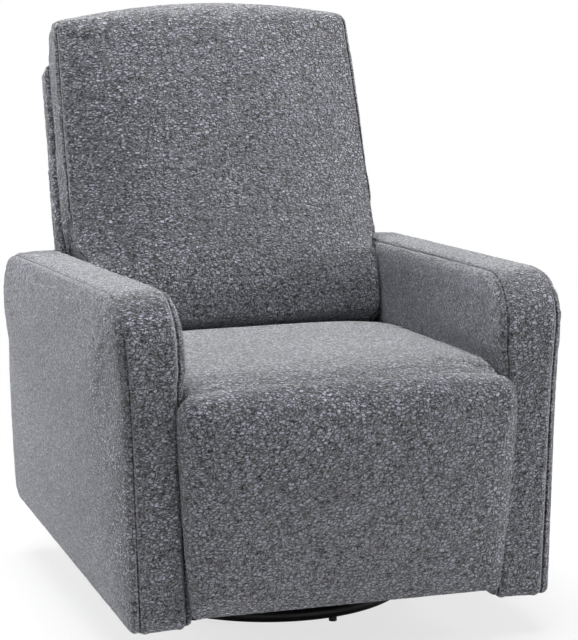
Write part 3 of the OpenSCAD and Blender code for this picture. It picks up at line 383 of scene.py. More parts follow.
def stuffed(piece, held, most, pressure=4.0, frames=20):
    """Presses the filling out against the cover. held is 1 where the cover is sewn or stapled; most caps the move."""
    rest = places_of(piece.data)
    group = piece.vertex_groups.new(name="held")
    levels = np.clip(np.round(held * 4) / 4, 0, 1)
    for level in (0.25, 0.5, 0.75, 1.0):
        group.add(np.nonzero(levels == level)[0].tolist(), level, "REPLACE")
    cloth = piece.modifiers.new("cover", "CLOTH")
    cover = cloth.settings
    cover.quality = 5
    cover.mass = 0.3
    cover.tension_stiffness = 20
    cover.compression_stiffness = 20
    cover.shear_stiffness = 12
    cover.bending_stiffness = 3
    cover.use_pressure = True
    cover.uniform_pressure_force = pressure
    cover.effector_weights.gravity = 0
    cover.vertex_group_mass = "held"
    cloth.point_cache.frame_start = 1
    cloth.point_cache.frame_end = frames
    for step in range(1, frames + 1):
        scene.frame_set(step)
    graph = bpy.context.evaluated_depsgraph_get()
    swollen = places_of(piece.evaluated_get(graph).data)
    piece.modifiers.clear()
    piece.vertex_groups.clear()
    scene.frame_set(1)
    move = swollen - rest
    length = np.maximum(np.linalg.norm(move, axis=1), 1e-9)
    cap = np.maximum(np.broadcast_to(most, length.shape), 1e-6)
    put_places(piece.data, rest + move * (cap * np.tanh(length / cap) / length)[:, None])


def refined(piece):
    halve = piece.modifiers.new("halve", "SUBSURF")
    halve.levels = halve.render_levels = 1
    made_plain(piece)


seam_reach = 0.05


def pulled_in(piece, distance, depth=0.0026, half_width=0.0035, roll=0.0013, roll_at=0.0095):
    """Presses a seam's line into the cover, with a soft roll on both sides, and keeps the distance for the material,
    which darkens the seam with painted shade.
    """
    mesh = piece.data
    normals = normals_of(mesh)
    from_seam = np.abs(distance)
    push = roll * np.exp(-((from_seam - roll_at) / half_width) ** 2) - depth * np.exp(-(from_seam / half_width) ** 2)
    put_places(mesh, places_of(mesh) + normals * push[:, None])
    seam = mesh.attributes.new("seam", "FLOAT", "POINT")
    seam.data.foreach_set("value", np.clip(distance, -seam_reach, seam_reach).astype(np.float32))


def pile_tree():
    """Lifts and sinks the cover along its normals by clumps of curls, after keeping its place for the material."""
    tree = bpy.data.node_groups.new("pile", "GeometryNodeTree")
    interface = tree.interface
    interface.new_socket("Geometry", in_out="INPUT", socket_type="NodeSocketGeometry")
    for name, value in (("Clump", 0.011), ("Height", 0.0022)):
        interface.new_socket(name, in_out="INPUT", socket_type="NodeSocketFloat").default_value = value
    interface.new_socket("Cover", in_out="INPUT", socket_type="NodeSocketMaterial")
    interface.new_socket("Geometry", in_out="OUTPUT", socket_type="NodeSocketGeometry")
    new = tree.nodes.new
    link = tree.links.new
    given = new("NodeGroupInput")
    result = new("NodeGroupOutput")
    place = new("GeometryNodeInputPosition")
    keep = new("GeometryNodeStoreNamedAttribute")
    keep.data_type = "FLOAT_VECTOR"
    keep.domain = "POINT"
    keep.inputs["Name"].default_value = "nap"
    per_metre = new("ShaderNodeMath")
    per_metre.operation = "DIVIDE"
    per_metre.inputs[0].default_value = 1
    clumps = new("ShaderNodeTexNoise")
    clumps.inputs["Detail"].default_value = 1.5
    centred = new("ShaderNodeMath")
    centred.operation = "SUBTRACT"
    centred.inputs[1].default_value = 0.5
    lift = new("ShaderNodeMath")
    lift.operation = "MULTIPLY"
    normal = new("GeometryNodeInputNormal")
    offset = new("ShaderNodeVectorMath")
    offset.operation = "SCALE"
    move = new("GeometryNodeSetPosition")
    cover = new("GeometryNodeSetMaterial")
    link(given.outputs["Geometry"], keep.inputs["Geometry"])
    link(place.outputs[0], keep.inputs["Value"])
    link(given.outputs["Clump"], per_metre.inputs[1])
    link(per_metre.outputs[0], clumps.inputs["Scale"])
    link(place.outputs[0], clumps.inputs["Vector"])
    link(clumps.outputs["Fac"], centred.inputs[0])
    link(centred.outputs[0], lift.inputs[0])
    link(given.outputs["Height"], lift.inputs[1])
    link(normal.outputs[0], offset.inputs[0])
    link(lift.outputs[0], offset.inputs["Scale"])
    link(keep.outputs["Geometry"], move.inputs["Geometry"])
    link(offset.outputs[0], move.inputs["Offset"])
    link(move.outputs["Geometry"], cover.inputs["Geometry"])
    link(given.outputs["Cover"], cover.inputs["Material"])
    link(cover.outputs["Geometry"], result.inputs["Geometry"])
    return tree


pile = pile_tree()


def napped(piece, material, clump=0.011, height=0.0022):
    """Gives the finished cover its pile and its material."""
    raised = piece.modifiers.new("pile", "NODES")
    raised.node_group = pile
    sockets = {s.name: s.identifier for s in pile.interface.items_tree if s.in_out == "INPUT"}
    raised[sockets["Clump"]] = clump
    raised[sockets["Height"]] = height
    raised[sockets["Cover"]] = material
    made_plain(piece)
    for face in piece.data.polygons:
        face.use_smooth = True


def share(value, low, high):
    return np.clip((value - low) / (high - low), 0, 1)


def eased(value, low, high):
    part = share(value, low, high)
    return part * part * (3 - 2 * part)


def rounded_outline(corners, inset, arc_steps, edge_steps):
    """A closed outline through corners of (y, z, radius), drawn in by an inset, with even points on arcs and edges."""
    outline = []
    for i, (y, z, corner_r) in enumerate(corners):
        here = np.array((y, z))
        back = np.array(corners[i - 1][:2]) - here
        ahead = np.array(corners[(i + 1) % len(corners)][:2]) - here
        back, ahead = back / np.linalg.norm(back), ahead / np.linalg.norm(ahead)
        half = math.acos(np.dot(back, ahead)) / 2
        middle = (back + ahead) / np.linalg.norm(back + ahead)
        r = max(corner_r - inset, corner_r / 4)
        centre = here + middle * (inset + r) / math.sin(half)
        start = here + middle * inset / math.sin(half) + back * r / math.tan(half) - centre
        first = math.atan2(start[1], start[0])
        for k in range(arc_steps + 1):
            turn = first + (math.pi - 2 * half) * k / arc_steps
            outline.append(centre + r * np.array((math.cos(turn), math.sin(turn))))
    whole = []
    per_corner = arc_steps + 1
    for i in range(len(corners)):
        arc = outline[i * per_corner:(i + 1) * per_corner]
        following = outline[((i + 1) % len(corners)) * per_corner]
        whole.extend(arc)
        whole.extend([arc[-1] + (following - arc[-1]) * k / edge_steps for k in range(1, edge_steps)])
    return np.array(whole)


arm_t = 0.104
arm_in_x = 0.261
arm_lean = math.radians(1.9)
arm_foot = 0.072
arm_front_y = -0.4195
arm_rear_y = 0.3855
arm_corners = [
    (arm_front_y, 0.065, 0.016),
    (arm_rear_y - 0.004, 0.101, 0.014),
    (arm_rear_y + 0.018, 0.568, 0.072),
    (arm_front_y - 0.001, 0.623, 0.092),
]
arm_edge_r = 0.018
arm_tuck = 0.0015
arm_crown = 0.013
arm_swell = 0.006
arm_dome = 0.006
inner_seam = 0.0125
outer_seam = arm_t - 0.0165
sewn_half_w = 0.0034
swell_z, swell_reach, swell_floor = 0.565, 0.085, 0.9
arm_voxel = 0.0058

rings = []
for turn in np.radians(np.arange(0, 91, 18)):
    inset = arm_tuck + arm_edge_r * (1 - math.sin(turn))
    rings.append((arm_edge_r * (1 - math.cos(turn)), inset))
rings.extend([(arm_t - e, inset) for e, inset in rings[::-1]])
arm_rings = [
    [(e, *p) for p in rounded_outline(arm_corners, inset, 12, 24)] for e, inset in rings
]
arm_middle = np.array((0.02, 0.43))
for spread, rise in ((0.97, 0.3), (0.9, 0.6), (0.7, 0.9), (0.4, 1)):
    arm_rings.append([
        (arm_t + arm_crown * rise, *(arm_middle + (p - arm_middle) * spread))
        for p in rounded_outline(arm_corners, arm_edge_r + arm_tuck, 12, 24)
    ])
arm = object_of("arm_cover_right", [lofted(arm_rings)])
meshed(arm, arm_voxel)
upright = places_of(arm.data)
from_seams = np.minimum(upright[:, 0] - inner_seam, outer_seam - upright[:, 0])
on_inner = upright[:, 0] < 0.004
stapled_below, stapled_slope = 0.092, 0.04
beside_seat = 0.44
beside_lip, behind_lip_w = 0.465, 0.034
held = np.maximum.reduce([
    np.abs(from_seams) < sewn_half_w,
    upright[:, 2] < stapled_below + stapled_slope * (upright[:, 1] - arm_front_y),
    on_inner & (upright[:, 2] < beside_seat),
    (upright[:, 0] < behind_lip_w) & (upright[:, 1] < arm_front_y + 0.006) & (upright[:, 2] < beside_lip),
]).astype(float)
stuffed(arm, held, np.where(on_inner, 0.002, 0.0075))
refined(arm)
upright = places_of(arm.data)
on_top = eased(upright[:, 2], 0.545, 0.590)
from_seam = np.minimum(np.abs(upright[:, 0] - inner_seam), np.abs(outer_seam - upright[:, 0]) + 0.0018 * on_top)
pulled_in(arm, from_seam)
upright = places_of(arm.data)
high_up = swell_floor + np.exp(-((upright[:, 2] - swell_z) / swell_reach) ** 2)
upright[:, 2] += arm_dome * (1 - ((upright[:, 0] / arm_t - 0.5) / 0.5) ** 2) * eased(upright[:, 2], 0.48, 0.56)
upright[:, 0] += arm_swell * high_up * share(upright[:, 0], 0.3 * arm_t, arm_t)
over_seat = eased(upright[:, 2], 0.466, 0.500) * (1 - eased(upright[:, 1], -0.30, -0.02))
upright[:, 0] -= arm_swell * over_seat * (1 - share(upright[:, 0], 0, 0.4 * arm_t))
out = upright[:, 0]
up = upright[:, 2] - arm_foot
leaned = np.column_stack([
    arm_in_x + out * math.cos(arm_lean) + up * math.sin(arm_lean),
    upright[:, 1],
    arm_foot - out * math.sin(arm_lean) + up * math.cos(arm_lean),
])
put_places(arm.data, leaned)
arm_left = bpy.data.objects.new("arm_cover_left", arm.data.copy())
scene.collection.objects.link(arm_left)
put_places(arm_left.data, leaned * (-1, 1, 1))
arm_left.data.flip_normals()
arm_sherpa = sherpa("arm_sherpa", 1.0)
for cover, side in ((arm, "right"), (arm_left, "left")):
    napped(cover, arm_sherpa)
    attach(cover, "chassis")
    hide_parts("arm_" + side)


# Rear valance: a board between the arms' rear ends, wrapped in the same cloth with thin wadding under it.
# It is screwed to both arm frames and closes the chair's back below the outside back.
def no_seam(piece):
    """A distance from any seam that leaves the whole cover unpressed."""
    return np.full(len(piece.data.vertices), seam_reach)


panel_low, panel_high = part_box("rear_panel")
panel_edge = 0.006
panel_slant = 0.0052
valance_voxel = 0.006
panel_rings = []
for depth, inset in ((0, 0.9), (0, 0.35), (0.3, 0.1), (0.7, 0), (1, 0.25), (1, 0.9)):
    half_low, half_top = panel_high.x - panel_slant, panel_high.x
    y = panel_low.y + (panel_high.y - panel_low.y) * depth
    d = panel_edge * inset
    low, top = panel_low.z + d, panel_high.z - d
    loop = []
    for a, b in (((-half_low + d, low), (half_low - d, low)), ((half_low - d, low), (half_top - d, top)),
                 ((half_top - d, top), (-half_top + d, top)), ((-half_top + d, top), (-half_low + d, low))):
        loop.extend([(a[0] + (b[0] - a[0]) * k / 16, y, a[1] + (b[1] - a[1]) * k / 16) for k in range(16)])
    panel_rings.append(loop)
valance = object_of("rear_valance", [lofted(panel_rings)])
meshed(valance, valance_voxel)
refined(valance)
pulled_in(valance, no_seam(valance))
napped(valance, arm_sherpa)
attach(valance, "chassis")
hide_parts("rear_panel")

# Seat carriage: zinc-plated side plates run on white nylon rollers in the chassis plates' guides.
# A timber frame sits between them, with sinuous springs of bare spring steel across it.
roller_nylon = mottled("roller_nylon", (0.62, 0.61, 0.57), (0.78, 0.77, 0.73), 0.01, 0.0, 0.4, 0.08, 0.0001)
spring_steel = mottled("spring_steel", (0.20, 0.20, 0.21), (0.36, 0.36, 0.37), 0.01, 1.0, 0.38, 0.1, 0.0001)
finish_nodes(zinc_plate, "seat_plate_left", "seat_plate_right", "crank_rivets", "seat_spacers")
finish_nodes(roller_nylon, "seat_rollers")
finish_nodes(spring_steel, "seat_springs")

# Seat and leg rest: one foam-filled cover runs over the seat, round the front roll and down the leg rest.
# Behind the roll the foam is cut out.
roll_r = 0.042
hinge_y = -0.416238
hinge_z = 0.415
seat_side_parts = (0, 0.03, 0.07, 0.12, 0.33, 0.58, 0.84, 1)
seat_side_heights = (0.4565, 0.4625, 0.468, 0.4705, 0.466, 0.458, 0.450, 0.438)
seat_under = 0.391
seat_rear = 0.150
seat_crown = 0.015
rest_bottom = 0.087
rest_front_y = -0.45824
rest_rear_y = -0.3952
rest_lean = 0.020
rest_crown = 0.009
rest_half_w = 0.258
lip_rear_y = -0.4225
cut_out = 0.023
foam_edge_r = 0.012
rest_foot_r = 0.014


def arm_inner_x(z):
    return arm_in_x + (z - arm_foot) * math.tan(arm_lean)


def front_skin_y(z, station):
    height = share(z, rest_bottom, hinge_z)
    bulge = rest_crown * np.sin(math.pi * height ** 1.4) * (1 - station ** 2)
    return rest_front_y + rest_lean * (1 - height) - bulge


def seat_section(station):
    """The cover's outline at a station across it, from the cut-out round the top to the leg rest's foot."""
    side = abs(station)
    crown = seat_crown * (1 - side ** 4)
    line = []
    for turn in np.radians((20, -8)):
        line.append((hinge_y + cut_out * 1.9 * math.cos(turn) + 0.004, hinge_z + cut_out * math.sin(turn)))
    line.append((hinge_y + 0.057, seat_under))
    for y in np.linspace(hinge_y + 0.09, seat_rear - foam_edge_r, 12):
        line.append((y, seat_under))
    for turn in np.radians((-60, -30, 0)):
        line.append((
            seat_rear - foam_edge_r + foam_edge_r * math.cos(turn),
            seat_under + foam_edge_r + foam_edge_r * math.sin(turn)))
    for part in np.linspace(1, 0, 26):
        rise = np.interp(part, (0, 0.12, 0.5, 0.9, 1), (0.3, 0.8, 1, 0.85, 0.5))
        z = np.interp(part, seat_side_parts, seat_side_heights) + crown * rise
        y = hinge_y + (seat_rear - 0.014 * (1 - math.sin(part * math.pi / 2)) - hinge_y) * part
        line.append((y, z))
    start_r = line[-1][1] - hinge_z
    for turn in np.radians(np.arange(100, 175, 9)):
        part = share(turn, math.pi / 2, math.pi)
        r = start_r + (roll_r - start_r) * part
        skin = front_skin_y(hinge_z + r * math.sin(turn), station)
        y = hinge_y + r * math.cos(turn)
        line.append((y + (min(y, skin) - y) * part, hinge_z + r * math.sin(turn)))
    for z in np.linspace(hinge_z - 0.006, rest_bottom + 0.016, 24):
        line.append((front_skin_y(z, station), z))
    foot_y = front_skin_y(rest_bottom, station)
    for turn in np.radians((200, 225, 250, 270)):
        line.append((
            foot_y + rest_foot_r + rest_foot_r * math.cos(turn),
            rest_bottom + rest_foot_r + rest_foot_r * math.sin(turn)))
    for turn in np.radians((-90, -60, -30, 0)):
        line.append((
            rest_rear_y - foam_edge_r + foam_edge_r * math.cos(turn),
            rest_bottom + foam_edge_r + foam_edge_r * math.sin(turn)))
    for z in np.linspace(rest_bottom + 0.03, hinge_z - 0.056, 14):
        line.append((rest_rear_y, z))
    for turn in np.radians((225, 190, 150, 110, 70)):
        line.append((hinge_y + cut_out * math.cos(turn), hinge_z + cut_out * math.sin(turn)))
    return np.array(line)


def drawn_in(line, inset):
    """The outline moved inwards by an inset along its own normals."""
    ahead = np.roll(line, -1, axis=0) - np.roll(line, 1, axis=0)
    ahead /= np.maximum(np.linalg.norm(ahead, axis=1), 1e-9)[:, None]
    normal = np.column_stack([-ahead[:, 1], ahead[:, 0]])
    area = np.sum(line[:, 0] * np.roll(line[:, 1], -1) - np.roll(line[:, 0], -1) * line[:, 1])
    return line + normal * (inset if area > 0 else -inset)


def seat_half_w(z):
    """Half width of the cover: a narrow gap to the arms, and less behind the lips."""
    beside_arms = arm_inner_x(z) - 0.0015
    return np.where(z > seat_under - 0.004, beside_arms, rest_half_w)


side_r = 0.010
seat_voxel = 0.0056
seat_side_x = 0.268
stations = [(share_x, 0) for share_x in (0, 0.2, 0.4, 0.6, 0.75, 0.88)]
stations += [
    (1 - side_r / seat_side_x * (1 - math.sin(a)), side_r * (1 - math.cos(a))) for a in np.radians((0, 25, 50, 72, 90))]
stations = [(-s, d) for s, d in stations[:0:-1]] + stations
seat_rings = []
for station, inset in stations:
    line = drawn_in(seat_section(station), inset)
    seat_rings.append([(station * seat_half_w(z), y, z) for y, z in line])

lip_heights = (0.087, 0.140, 0.200, 0.267, 0.333, 0.395, 0.460)
lip_half_widths = (0.270, 0.276, 0.282, 0.287, 0.2915, 0.294, 0.294)
lip_corner = 0.030
lip_foot_r = 0.008
lip_round = 0.66
lip_middle_share = 0.24
lip_top = hinge_z + roll_r
forms = [lofted(seat_rings)]
for side in (-1, 1):
    lip_rings = []
    for out in (-0.35, 0.2, 0.42, 0.6, 0.75, 0.87, 0.95, 1):
        full = math.sqrt(max(0, 1 - (max(0, out - 1 + lip_round) / lip_round) ** 2))
        line = []
        for turn in np.radians(np.linspace(102, 180, 12)):
            line.append((hinge_y + roll_r * math.cos(turn), hinge_z + roll_r * math.sin(turn)))
        for z in np.linspace(hinge_z, rest_bottom + 0.012, 22)[1:]:
            line.append((front_skin_y(z, 1), z))
        foot_y = front_skin_y(rest_bottom, 1)
        for turn in np.radians((215, 250)):
            line.append((
                foot_y + lip_foot_r + lip_foot_r * math.cos(turn),
                rest_bottom + lip_foot_r + lip_foot_r * math.sin(turn)))
        for z in np.linspace(rest_bottom, lip_top - 0.004, 26):
            line.append((lip_rear_y, z))
        ring = []
        for y, z in line:
            height = (z - rest_bottom) / (lip_top - rest_bottom)
            z += (1 - full) * (0.014 * (1 - height) - lip_corner * height)
            front = front_skin_y(z, 1)
            middle = lip_rear_y + (front - lip_rear_y) * lip_middle_share
            y = middle + (y - middle) * (0.15 + 0.85 * full)
            edge = np.interp(z, lip_heights, lip_half_widths)
            ring.append((side * (rest_half_w + (edge - rest_half_w) * out), y, z))
        lip_rings.append(ring)
    forms.append(lofted(lip_rings))
seat = object_of("seat_and_leg_rest_cover", forms)
meshed(seat, seat_voxel)
places = places_of(seat.data)
x, y, z = places.T
on_seat_top = (z > hinge_z + 0.008) & (np.abs(x) < 0.262)
on_front = (y < front_skin_y(z, x / 0.29) + 0.012) & (z < hinge_z + 0.02)
held = 1.0 - np.maximum(on_seat_top * eased(seat_rear - y, 0.0, 0.03), on_front)
held = np.maximum(held, (z < rest_bottom + 0.006))
most = np.where(z > hinge_z, 0.006, 0.004)
stuffed(seat, held, most)
refined(seat)
pulled_in(seat, no_seam(seat))
napped(seat, sherpa("seat_sherpa", 1.0))
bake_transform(seat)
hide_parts("seat_cushion", "leg_rest_pad")

# The leg rest's board is wrapped in the same cloth, pulled round its edges and stapled; the brackets are
# screwed on through it. The wrap shows only when the leg rest is open.
board_low, board_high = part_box("leg_rest_board")
wrap_skin = 0.0024
wrap_voxel = 0.0045
wrap_corners = [
    (board_low.y - 0.0004, board_low.z - wrap_skin, 0.004), (board_high.y + 0.0014, board_low.z - wrap_skin, 0.005),
    (board_high.y + 0.0014, board_high.z + wrap_skin, 0.005), (board_low.y - 0.0004, board_high.z + wrap_skin, 0.004),
]
wrap_half_w = board_high.x + wrap_skin
wrap_rings = []
for along, inset in ((-1, 0.0036), (-0.994, 0.0012), (-0.986, 0), (0, 0), (0.986, 0), (0.994, 0.0012), (1, 0.0036)):
    wrap_rings.append([(wrap_half_w * along, *p) for p in rounded_outline(wrap_corners, inset, 4, 6)])
board_wrap = object_of("leg_rest_board_wrap", [lofted(wrap_rings)])
meshed(board_wrap, wrap_voxel)
refined(board_wrap)
pulled_in(board_wrap, no_seam(board_wrap))
napped(board_wrap, bpy.data.materials["seat_sherpa"], height=0.0012)
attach(board_wrap, "leg_rest")

# Back frame and webbing: a timber ladder with elastic straps stapled across it for the filling to rest on.
# Black steel brackets screwed to its sides hang it on the recline pins.
wood_upright = planed_wood("planed_wood_upright", (1, 1, 0.06))
finish_nodes(wood_upright, "back_frame", "leg_rest_board")
finish_nodes(mechanism_black, "back_bracket_left", "back_bracket_right")
finish_nodes(zinc_plate, "back_pins")
webbing = mottled("woven_webbing", (0.035, 0.030, 0.026), (0.075, 0.066, 0.058), 0.004, 0.0, 0.85, 0.05, 0.0006)
finish_nodes(webbing, "back_webbing")

# Back cushion: one front panel falls over the top and down behind. A gusset on each side is sewn to it along
# the front edge and round the top corner, and the filling crowns the panel between the seams.
back_y = 0.246368
back_z = 0.405
back_tilt = math.radians(20.2)
back_front = -0.076
back_rear = -0.015
back_low = -0.046
back_len = 0.629
back_side_len = 0.605
foot_z = 0.009
foot_r = 0.024
corner_r = 0.030
foot_half_w = 0.252
back_taper = 0.011
above_arms = (0.148, 0.172)


def in_back(places):
    """From the back's own frame, where y is its depth and z runs along it, to the chair's."""
    x, y, z = np.array(places, float).T
    return np.column_stack([
        x,
        back_y + y * math.cos(back_tilt) + z * math.sin(back_tilt),
        back_z - y * math.sin(back_tilt) + z * math.cos(back_tilt),
    ])


def back_half_w(z, wide):
    """Half width of the back: pinched between the arms, full above their tops."""
    pinched = arm_inner_x(back_z + z * math.cos(back_tilt)) - 0.0025
    low = foot_half_w + (pinched - foot_half_w) * eased(z, -0.010, 0.016)
    high = wide - back_taper * share(z, 0.250, 0.600)
    return low + (high - low) * eased(z, *above_arms)


def corner_half_w(z, wide, top, r):
    over = np.clip(z - (top - r), 0, r)
    return back_half_w(z, wide) - (r - np.sqrt(np.maximum(r * r - over * over, 0)))


fill_heights = (0.03, 0.08, 0.13, 0.155, 0.178, 0.195, 0.224, 0.28, 0.34, 0.45, 0.55, 0.60)
middle_fill = (0.050, 0.058, 0.058, 0.056, 0.052, 0.049, 0.044, 0.038, 0.034, 0.028, 0.020, 0.012)
edge_fill = (0.048, 0.054, 0.042, 0.020, 0.012, 0.008, 0.005, 0.002, 0, 0, 0, 0)


def cushion_section(station):
    side = abs(station)
    top = back_len - (back_len - back_side_len) * side ** 2
    head_r = 0.030
    corner_z = top - head_r
    line = []
    for z in np.linspace(back_low + 0.012, corner_z, 40):
        line.append((back_rear, z))
    for turn in np.radians((25, 50, 75, 90)):
        line.append((back_rear - 0.017 * (1 - math.cos(turn)), corner_z + head_r * math.sin(turn)))
    for turn in np.radians((0, 20, 40, 60, 80)):
        part = math.sin(turn)
        lead = middle_fill[-1] * (1 - side ** 4)
        line.append((back_front + 0.028 * (1 - part) - lead * part, corner_z + head_r * math.cos(turn)))
    for z in np.linspace(corner_z - 0.004, foot_z + foot_r, 44):
        edge = np.interp(z, fill_heights, edge_fill)
        line.append((back_front - edge - (np.interp(z, fill_heights, middle_fill) - edge) * (1 - side ** 4), z))
    foot_y = line[-1][0] + foot_r
    for turn in np.radians((205, 230, 252, 270)):
        line.append((foot_y + foot_r * math.cos(turn), foot_z + foot_r + foot_r * math.sin(turn)))
    line.extend([(back_front - 0.014, -0.012), (back_front + 0.010, back_low + 0.010), (back_rear - 0.012, back_low)])
    return np.array(line)


edge_r = 0.007
back_side_x = 0.29
seam_half_w = 0.2905
gusset_bulge = 0.013
cushion_voxel = 0.0056
stations = [(s, 0) for s in (0, 0.15, 0.3, 0.45, 0.6, 0.72, 0.82, 0.9)]
stations += [
    (1 - edge_r / back_side_x * (1 - math.sin(a)), edge_r * (1 - math.cos(a))) for a in np.radians((0, 30, 60, 90))]
stations = [(-s, d) for s, d in stations[:0:-1]] + stations
cushion_rings = []
for station, inset in stations:
    line = drawn_in(cushion_section(station), inset)
    widths = corner_half_w(line[:, 1], seam_half_w, back_side_len, corner_r)
    bulge = gusset_bulge * np.sin(math.pi * share(line[:, 0], back_front, back_rear)) * eased(line[:, 1], 0.18, 0.24)
    cushion_rings.append([(station * (w + b), y, z) for (y, z), w, b in zip(line, widths, bulge)])
cushion = object_of("back_cushion_cover", [lofted(cushion_rings)])
meshed(cushion, cushion_voxel)


def gusset_line(places):
    """Distance from the gusset's seam, positive on the gusset."""
    x, y, z = np.abs(places[:, 0]), places[:, 1], places[:, 2]
    corner_x = back_half_w(back_side_len, seam_half_w) - corner_r
    corner_z = back_side_len - corner_r
    in_side = back_half_w(z, seam_half_w) - x
    in_corner = corner_r - np.hypot(x - corner_x, z - corner_z)
    in_top = back_side_len - z
    inward = np.where(z < corner_z, in_side, np.where(x > corner_x, in_corner, in_top))
    forward = np.interp(z, fill_heights, edge_fill)
    apart = np.abs(np.minimum(y + forward - (back_front + 0.002) - inward, x - (corner_x + 0.004)))
    return apart + 0.03 * eased(z, corner_z + 0.006, back_side_len - 0.006)


places = places_of(cushion.data)
from_seam = gusset_line(places)
held = np.maximum.reduce([
    np.abs(from_seam) < 0.003,
    places[:, 1] > back_rear - 0.004,
    places[:, 2] < foot_z + foot_r,
]).astype(float)
front = places[:, 1] < back_front + 0.01 - np.interp(places[:, 2], fill_heights, edge_fill)
stuffed(cushion, held, np.where(front, 0.010, 0.004))
refined(cushion)
places = places_of(cushion.data)
pulled_in(cushion, gusset_line(places))
put_places(cushion.data, in_back(places_of(cushion.data)))
# The back's copy of the sherpa is painted at 0.80 of the others' brightness: painted shade for the back's front, which
# gets less light.
napped(cushion, sherpa("back_sherpa_painted_shade", 0.80))
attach(cushion, "back")
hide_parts("back_cushion")

# Outside back: one wadded panel of the same cloth over the timber back's rear and sides.
# It turns in at the front, where it is stapled behind the cushion, and stands a little below the cushion's top.
shell_len = 0.543
shell_arch = 0.008
shell_rear = 0.034
shell_low = -0.1
shell_edge_r = 0.014
turn_in_r = 0.004
shell_voxel = 0.0058
shell_half_w = 0.306
shell_front = back_rear + 0.0006


def shell_section(station):
    side = abs(station)
    top = shell_len - shell_arch * side * side
    crown = 0.004 * (1 - side * side)
    line = []
    for z in np.linspace(shell_low, top - shell_edge_r, 40):
        line.append((shell_rear + crown * math.sin(math.pi * (z - shell_low) / (top - shell_low)), z))
    for turn in np.radians((30, 60, 90)):
        rear = shell_rear - shell_edge_r * (1 - math.cos(turn))
        line.append((rear, top - shell_edge_r + shell_edge_r * math.sin(turn)))
    for turn in np.radians((90, 45, 0)):
        line.append((shell_front, top - turn_in_r + turn_in_r * math.sin(turn)))
    for z in np.linspace(top - 0.02, shell_low, 36):
        line.append((shell_front, z))
    return np.array(line)


stations = [(s, 0) for s in (0, 0.3, 0.6, 0.8, 0.9)]
stations += [
    (1 - shell_edge_r / back_side_x * (1 - math.sin(a)), shell_edge_r * (1 - math.cos(a)))
    for a in np.radians((0, 25, 50, 72, 90))]
stations = [(-s, d) for s, d in stations[:0:-1]] + stations
shell_rings = []
for station, inset in stations:
    line = drawn_in(shell_section(station), inset)
    widths = corner_half_w(line[:, 1], shell_half_w, shell_len - shell_arch, 0.018) - 0.001
    shell_rings.append([(station * w, y, z) for (y, z), w in zip(line, widths)])
shell = object_of("outside_back_cover", [lofted(shell_rings)])
meshed(shell, shell_voxel)
places = places_of(shell.data)
held = np.maximum(places[:, 1] < shell_front + 0.006, places[:, 2] < 0.02).astype(float)
stuffed(shell, held, 0.004)
refined(shell)
pulled_in(shell, no_seam(shell))
put_places(shell.data, in_back(places_of(shell.data)))
napped(shell, sherpa("shell_sherpa", 1.0))
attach(shell, "back")
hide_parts("outside_back")

# Leg-rest linkage: zinc-plated cranks, carriers and rods on rivets, turned by a black torque tube.
# Black brackets are screwed to the board behind the leg rest.
finish_nodes(
    zinc_plate, "front_crank_left", "front_crank_right", "rear_crank_left", "rear_crank_right",
    "carrier_left", "carrier_right", "rod_left", "rod_right")
finish_nodes(mechanism_black, "torque_tube", "leg_rest_bracket_left", "leg_rest_bracket_right")

# Studio: a pale floor that fades into white, a large soft window behind the left shoulder and a softbox above.
# A lamp from the right lifts the front's right half, and a weak one in front fills the shadows.
floor_mesh = bpy.data.meshes.new("floor")
floor_r = 6.0
rim = [(floor_r * math.cos(a), floor_r * math.sin(a), 0) for a in np.linspace(0, 2 * math.pi, 97)[:-1]]
floor_mesh.from_pydata(rim, [], [tuple(range(96))])
floor = bpy.data.objects.new("floor", floor_mesh)
scene.collection.objects.link(floor)
floor_finish, tree, shader = surface("pale_floor")
shader.inputs["Base Color"].default_value = (0.80, 0.80, 0.80, 1)
shader.inputs["Roughness"].default_value = 0.9
shader.inputs["Specular IOR Level"].default_value = 0.1
where = tree.nodes.new("ShaderNodeTexCoord")
reach = tree.nodes.new("ShaderNodeVectorMath")
reach.operation = "LENGTH"
fade = tree.nodes.new("ShaderNodeMapRange")
fade.interpolation_type = "SMOOTHSTEP"
fade.inputs["From Min"].default_value = 0.45
fade.inputs["From Max"].default_value = 1.1
fade.inputs["To Min"].default_value = 0.72
rays = tree.nodes.new("ShaderNodeLightPath")
seen = tree.nodes.new("ShaderNodeMath")
seen.operation = "MULTIPLY"
white = tree.nodes.new("ShaderNodeEmission")
choice = tree.nodes.new("ShaderNodeMixShader")
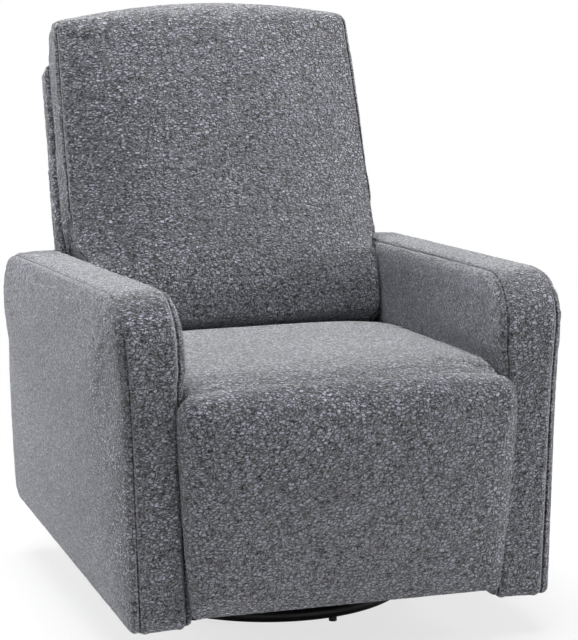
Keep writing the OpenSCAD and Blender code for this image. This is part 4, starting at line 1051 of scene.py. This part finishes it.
wire_up(tree, [
    (where.outputs["Object"], reach.inputs[0]),
    (reach.outputs["Value"], fade.inputs["Value"]),
    (fade.outputs["Result"], seen.inputs[0]),
    (rays.outputs["Is Camera Ray"], seen.inputs[1]),
    (seen.outputs[0], choice.inputs[0]),
    (shader.outputs[0], choice.inputs[1]),
    (white.outputs[0], choice.inputs[2]),
    (choice.outputs[0], tree.nodes["Material Output"].inputs["Surface"]),
])
floor_mesh.materials.append(floor_finish)

scene.world = bpy.data.worlds.new("studio")
scene.world.use_nodes = True
tree = scene.world.node_tree
room = tree.nodes["Background"]
room.inputs["Color"].default_value = (1, 1, 1, 1)
room.inputs["Strength"].default_value = 0.06
backdrop = tree.nodes.new("ShaderNodeBackground")
backdrop.inputs["Color"].default_value = (1, 1, 1, 1)
rays = tree.nodes.new("ShaderNodeLightPath")
shown = tree.nodes.new("ShaderNodeMath")
shown.operation = "MAXIMUM"
mirrored = tree.nodes.new("ShaderNodeMath")
mirrored.operation = "MAXIMUM"
choice = tree.nodes.new("ShaderNodeMixShader")
wire_up(tree, [
    (rays.outputs["Is Glossy Ray"], mirrored.inputs[0]),
    (rays.outputs["Is Transmission Ray"], mirrored.inputs[1]),
    (rays.outputs["Is Camera Ray"], shown.inputs[0]),
    (mirrored.outputs[0], shown.inputs[1]),
    (shown.outputs[0], choice.inputs[0]),
    (room.outputs[0], choice.inputs[1]),
    (backdrop.outputs[0], choice.inputs[2]),
    (choice.outputs[0], tree.nodes["World Output"].inputs["Surface"]),
])

for name, place, target, size, power in (
    ("window_left", (-2.9, 2.4, 1.05), (0, 0, 0.45), (2.0, 1.7), 185),
    ("softbox_above", (-0.2, 0.1, 3.4), (0, 0, 0.5), (2.6, 2.6), 175),
    ("lamp_right", (3.9, -0.8, 1.3), (0, 0, 0.5), (1.0, 1.2), 118),
    ("lamp_front", (1.3, -4.3, 1.7), (0, 0, 0.5), (1.0, 1.0), 20),
):
    lamp = bpy.data.lights.new(name, "AREA")
    lamp.shape = "RECTANGLE"
    lamp.size, lamp.size_y = size
    lamp.energy = power
    holder = bpy.data.objects.new(name, lamp)
    scene.collection.objects.link(holder)
    holder.location = place
    aim = np.array(target) - np.array(place)
    holder.rotation_mode = "QUATERNION"
    holder.rotation_quaternion = Vector(aim).to_track_quat("-Z", "Y")

scene.view_settings.view_transform = "Standard"
